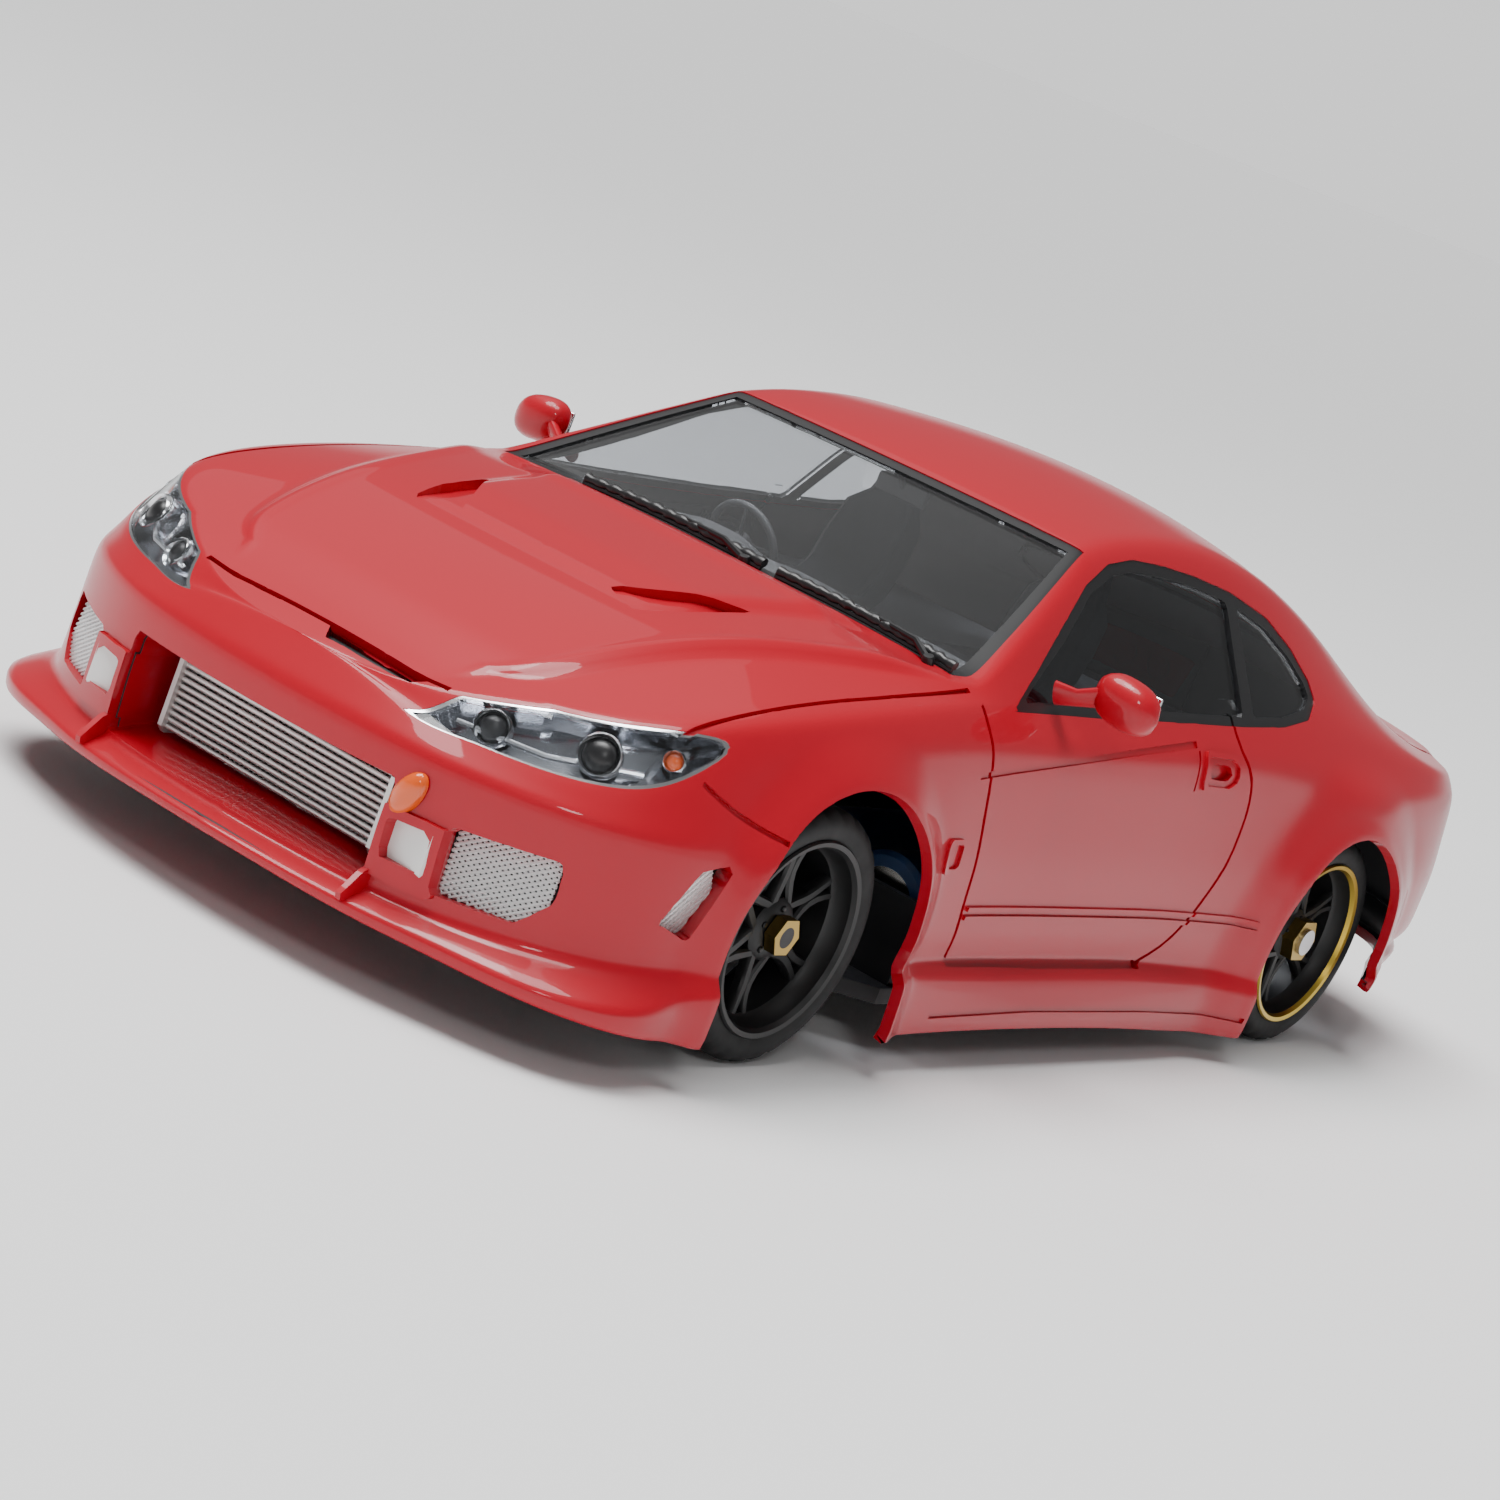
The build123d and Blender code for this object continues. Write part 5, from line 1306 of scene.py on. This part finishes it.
# ---------------------------------------------------------------- wheels
FRONT_AXLE_X, REAR_AXLE_X = limits("front_tyre_left")[0][0], limits("rear_tyre_left")[0][0]
AXLE_Z = limits("front_tyre_left")[0][2]
TYRE_R, RIM_R, HUB_R, TREAD_STEPS = 12.2, 9.3, 2.6, 120
SPOKE = [(-1, -1), (-1, -0.25), (-0.6, 0), (0.6, 0), (1, -0.25), (1, -1)]  # share of half width, depth
TREAD_GROOVE = ((0, -0.3), (0.35, -0.22), (0.35, 0.22), (0, 0.3))


def tyre_shape(x, inner, outer, side):
    """A tyre with a rounded shoulder, three grooves round the tread and blocks cut into both shoulders."""
    wide = outer - inner
    wall = [(RIM_R - 0.2, 0.5), (RIM_R + 0.5, 0.15), (RIM_R + 1.4, 0)]
    wall += [(TYRE_R - 0.9, 0.12), (TYRE_R - 0.3, 0.55), (TYRE_R - 0.06, 1.05)]
    profile = list(wall)
    for centre in (wide / 2 - 1.5, wide / 2, wide / 2 + 1.5):
        profile += [(TYRE_R - deep, centre + off) for deep, off in TREAD_GROOVE]
    profile += [(radius, wide - along) for radius, along in reversed(wall)] + wall[:1]
    rings = []
    for radius, along in profile:
        shoulder = radius > TYRE_R - 0.5 and not 1.3 < along < wide - 1.3
        loop = []
        for k, (u, v) in enumerate(circle(TREAD_STEPS)):
            r = radius - (0.3 if shoulder and k % 4 == 0 else 0)
            loop.append((x + r * u, side * (inner + along), AXLE_Z + r * v))
        rings.append(loop)
    return Shape().rings(rings, caps=False)


def rim_shape(x, inner, outer, side, lip):
    """A deep rim: a painted outer lip, a stepped barrel, a hub with five bolts and six forked spokes."""
    shape = Shape()
    face = outer - 2.4
    # both edges are (radius past RIM_R, distance from the rim's face on that side)
    outer_edge = [(0.25, -0.15), (0.1, 0.05), (-0.35, -0.05), (-0.6, -0.5), (-0.8, -2), (-1.2, -2.4)]
    outer_edge.append((-0.3, -0.9))
    inner_edge = [(-1.2, 1), (-0.5, 0.3), (0.25, 0.2), (-0.3, 0.8)]
    *shown, shoulder, back = [(RIM_R + r, outer + y) for r, y in outer_edge]
    barrel = shown[3:] + [shoulder] + [(RIM_R + r, inner + y) for r, y in inner_edge] + [back]
    for loop, paint in ((barrel, 0), (shown[:4] + [back], lip)):
        shape.turned([(r, side * y) for r, y in loop + loop[:1]], (x, 0, AXLE_Z), count=64, paint=paint)
    hub = [(1.3, -0.2), (1.3, 0.5), (2.5, 0.35), (3, -0.1), (3.1, -1.6), (1.3, -1.6), (1.3, -0.2)]
    shape.turned([(r, side * (face + y)) for r, y in hub], (x, 0, AXLE_Z), count=36)
    for k in range(6):
        for fork in (-1, 1):
            rings = []
            for share in np.linspace(0, 1, 7):
                radius = HUB_R + (RIM_R - 0.9 - HUB_R) * share
                lean = math.pi * k / 3 + math.pi / 2 + fork * (0.11 * share**1.5 + 0.5 * (1 - share) ** 4)
                half = 0.62 - 0.2 * share
                crest = face + 0.1 - 0.3 * math.sin(math.pi * share)
                c, s = math.cos(lean), math.sin(lean)
                rings.append([
                    (x + radius * c - half * u * s, side * (crest + v), AXLE_Z + radius * s + half * u * c)
                    for u, v in SPOKE
                ])
            shape.rings(rings)
    for u, v in circle(5, start=0.3):
        bolt = [(0.01, side * 0.32), (0.22, side * 0.3), (0.32, side * 0.2), (0.32, -side * 0.3)]
        shape.turned(bolt, (x + 2.15 * u, side * (face + 0.3), AXLE_Z + 2.15 * v), count=6)
    return shape


WHEELS = (
    ("front", FRONT_AXLE_X, 26.4, "front_wheel_left", "front_wheel_right"),
    ("rear", REAR_AXLE_X, 25.8, "rear_axle_assembly", "rear_axle_assembly"),
)
OUTER_FACE = 34.8
for k, (name, side) in enumerate((("left", 1), ("right", -1))):
    for place, x, inner, *bodies in WHEELS:
        tyre = tyre_shape(x, inner, OUTER_FACE, side)
        tyre.place(f"{place}_tread_{name}", bodies[k], "tyre", f"{place}_tyre_{name}")
        rim = rim_shape(x, inner, OUTER_FACE, side, lip=1 if place == "rear" else 0)
        rim.place(f"{place}_wheel_{name}", bodies[k], "rim_black", f"{place}_rim_{name}", also=[gold])

# ---------------------------------------------------------------- stage: light, floor and camera
HORIZON_LIGHT, SKY_LIGHT = 1.08, 0.22


def area_light(name, place, target, size, power):
    lamp = bpy.data.lights.new(name, "AREA")
    lamp.shape, lamp.size, lamp.energy = "DISK", size, power
    holder = into_scene(name, lamp)
    holder.location = place
    holder.rotation_euler = (Vector(target) - Vector(place)).to_track_quat("-Z", "Y").to_euler()


# A pale band stands at the horizon, where the floor ends, under a darker ceiling.
world = bpy.data.worlds.new("studio")
world.use_nodes = True
sky = world.node_tree
direction = sky.nodes.new("ShaderNodeTexCoord")
upward = sky.nodes.new("ShaderNodeSeparateXYZ")
fade = sky.nodes.new("ShaderNodeMapRange")
fade.interpolation_type = "SMOOTHSTEP"
for name, value in (("From Min", 0.04), ("From Max", 0.20), ("To Min", HORIZON_LIGHT), ("To Max", SKY_LIGHT)):
    fade.inputs[name].default_value = value
sky.links.new(direction.outputs["Generated"], upward.inputs["Vector"])
sky.links.new(upward.outputs["Z"], fade.inputs["Value"])
sky.links.new(fade.outputs["Result"], sky.nodes["Background"].inputs["Strength"])
sky.nodes["Background"].inputs["Color"].default_value = (1, 1, 1, 1)
bpy.context.scene.world = world
area_light("softbox_above", (0.10, 0.02, 0.60), (0, 0, 0.03), 0.30, 2.2)
area_light("softbox_front", (0.42, 0.34, 0.36), (0.03, 0.02, 0.02), 0.10, 0.4)
area_light("softbox_back", (-0.20, -0.36, 0.56), (0, 0, 0.03), 0.56, 0.28)
sun = into_scene("soft_sun", bpy.data.lights.new("soft_sun", "SUN"))
sun.data.energy, sun.data.angle = 3.3, 0.6
sun.rotation_euler = (0.35, 0.15, 0)

FLOOR_HALF, FLOOR_GAP = 60, 0.0001  # metres
corners = [(FLOOR_HALF * u, FLOOR_HALF * v, 0) for u, v in ((-1, -1), (1, -1), (1, 1), (-1, 1))]
floor = into_scene("floor", bpy.data.meshes.new("floor"))
floor.data.from_pydata(corners, [], [(0, 1, 2, 3)])
floor.location.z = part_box("front_tyre_left")[0][2] - FLOOR_GAP
floor.data.materials.append(material("floor_white", (0.9, 0.9, 0.9), 0.9))

# The camera stands at the photograph's place, ahead of the car's left front wheel and a little above it.
CAMERA_PLACE, CAMERA_LENS = (0.3331, 0.1988, 0.0886), 91.66
CAMERA_RIGHT = Vector((-0.55288, 0.75305, 0.35672))
CAMERA_DOWN = Vector((-0.04456, 0.40077, -0.91510))
CAMERA_AHEAD = Vector((-0.83207, -0.52183, -0.18802))
camera = into_scene("camera", bpy.data.cameras.new("camera"))
turn = Matrix([CAMERA_RIGHT, -CAMERA_DOWN, -CAMERA_AHEAD]).transposed()
camera.matrix_world = Matrix.Translation(CAMERA_PLACE) @ turn.to_4x4()
camera.data.lens, camera.data.clip_start = CAMERA_LENS, 0.01
bpy.context.scene.camera = camera
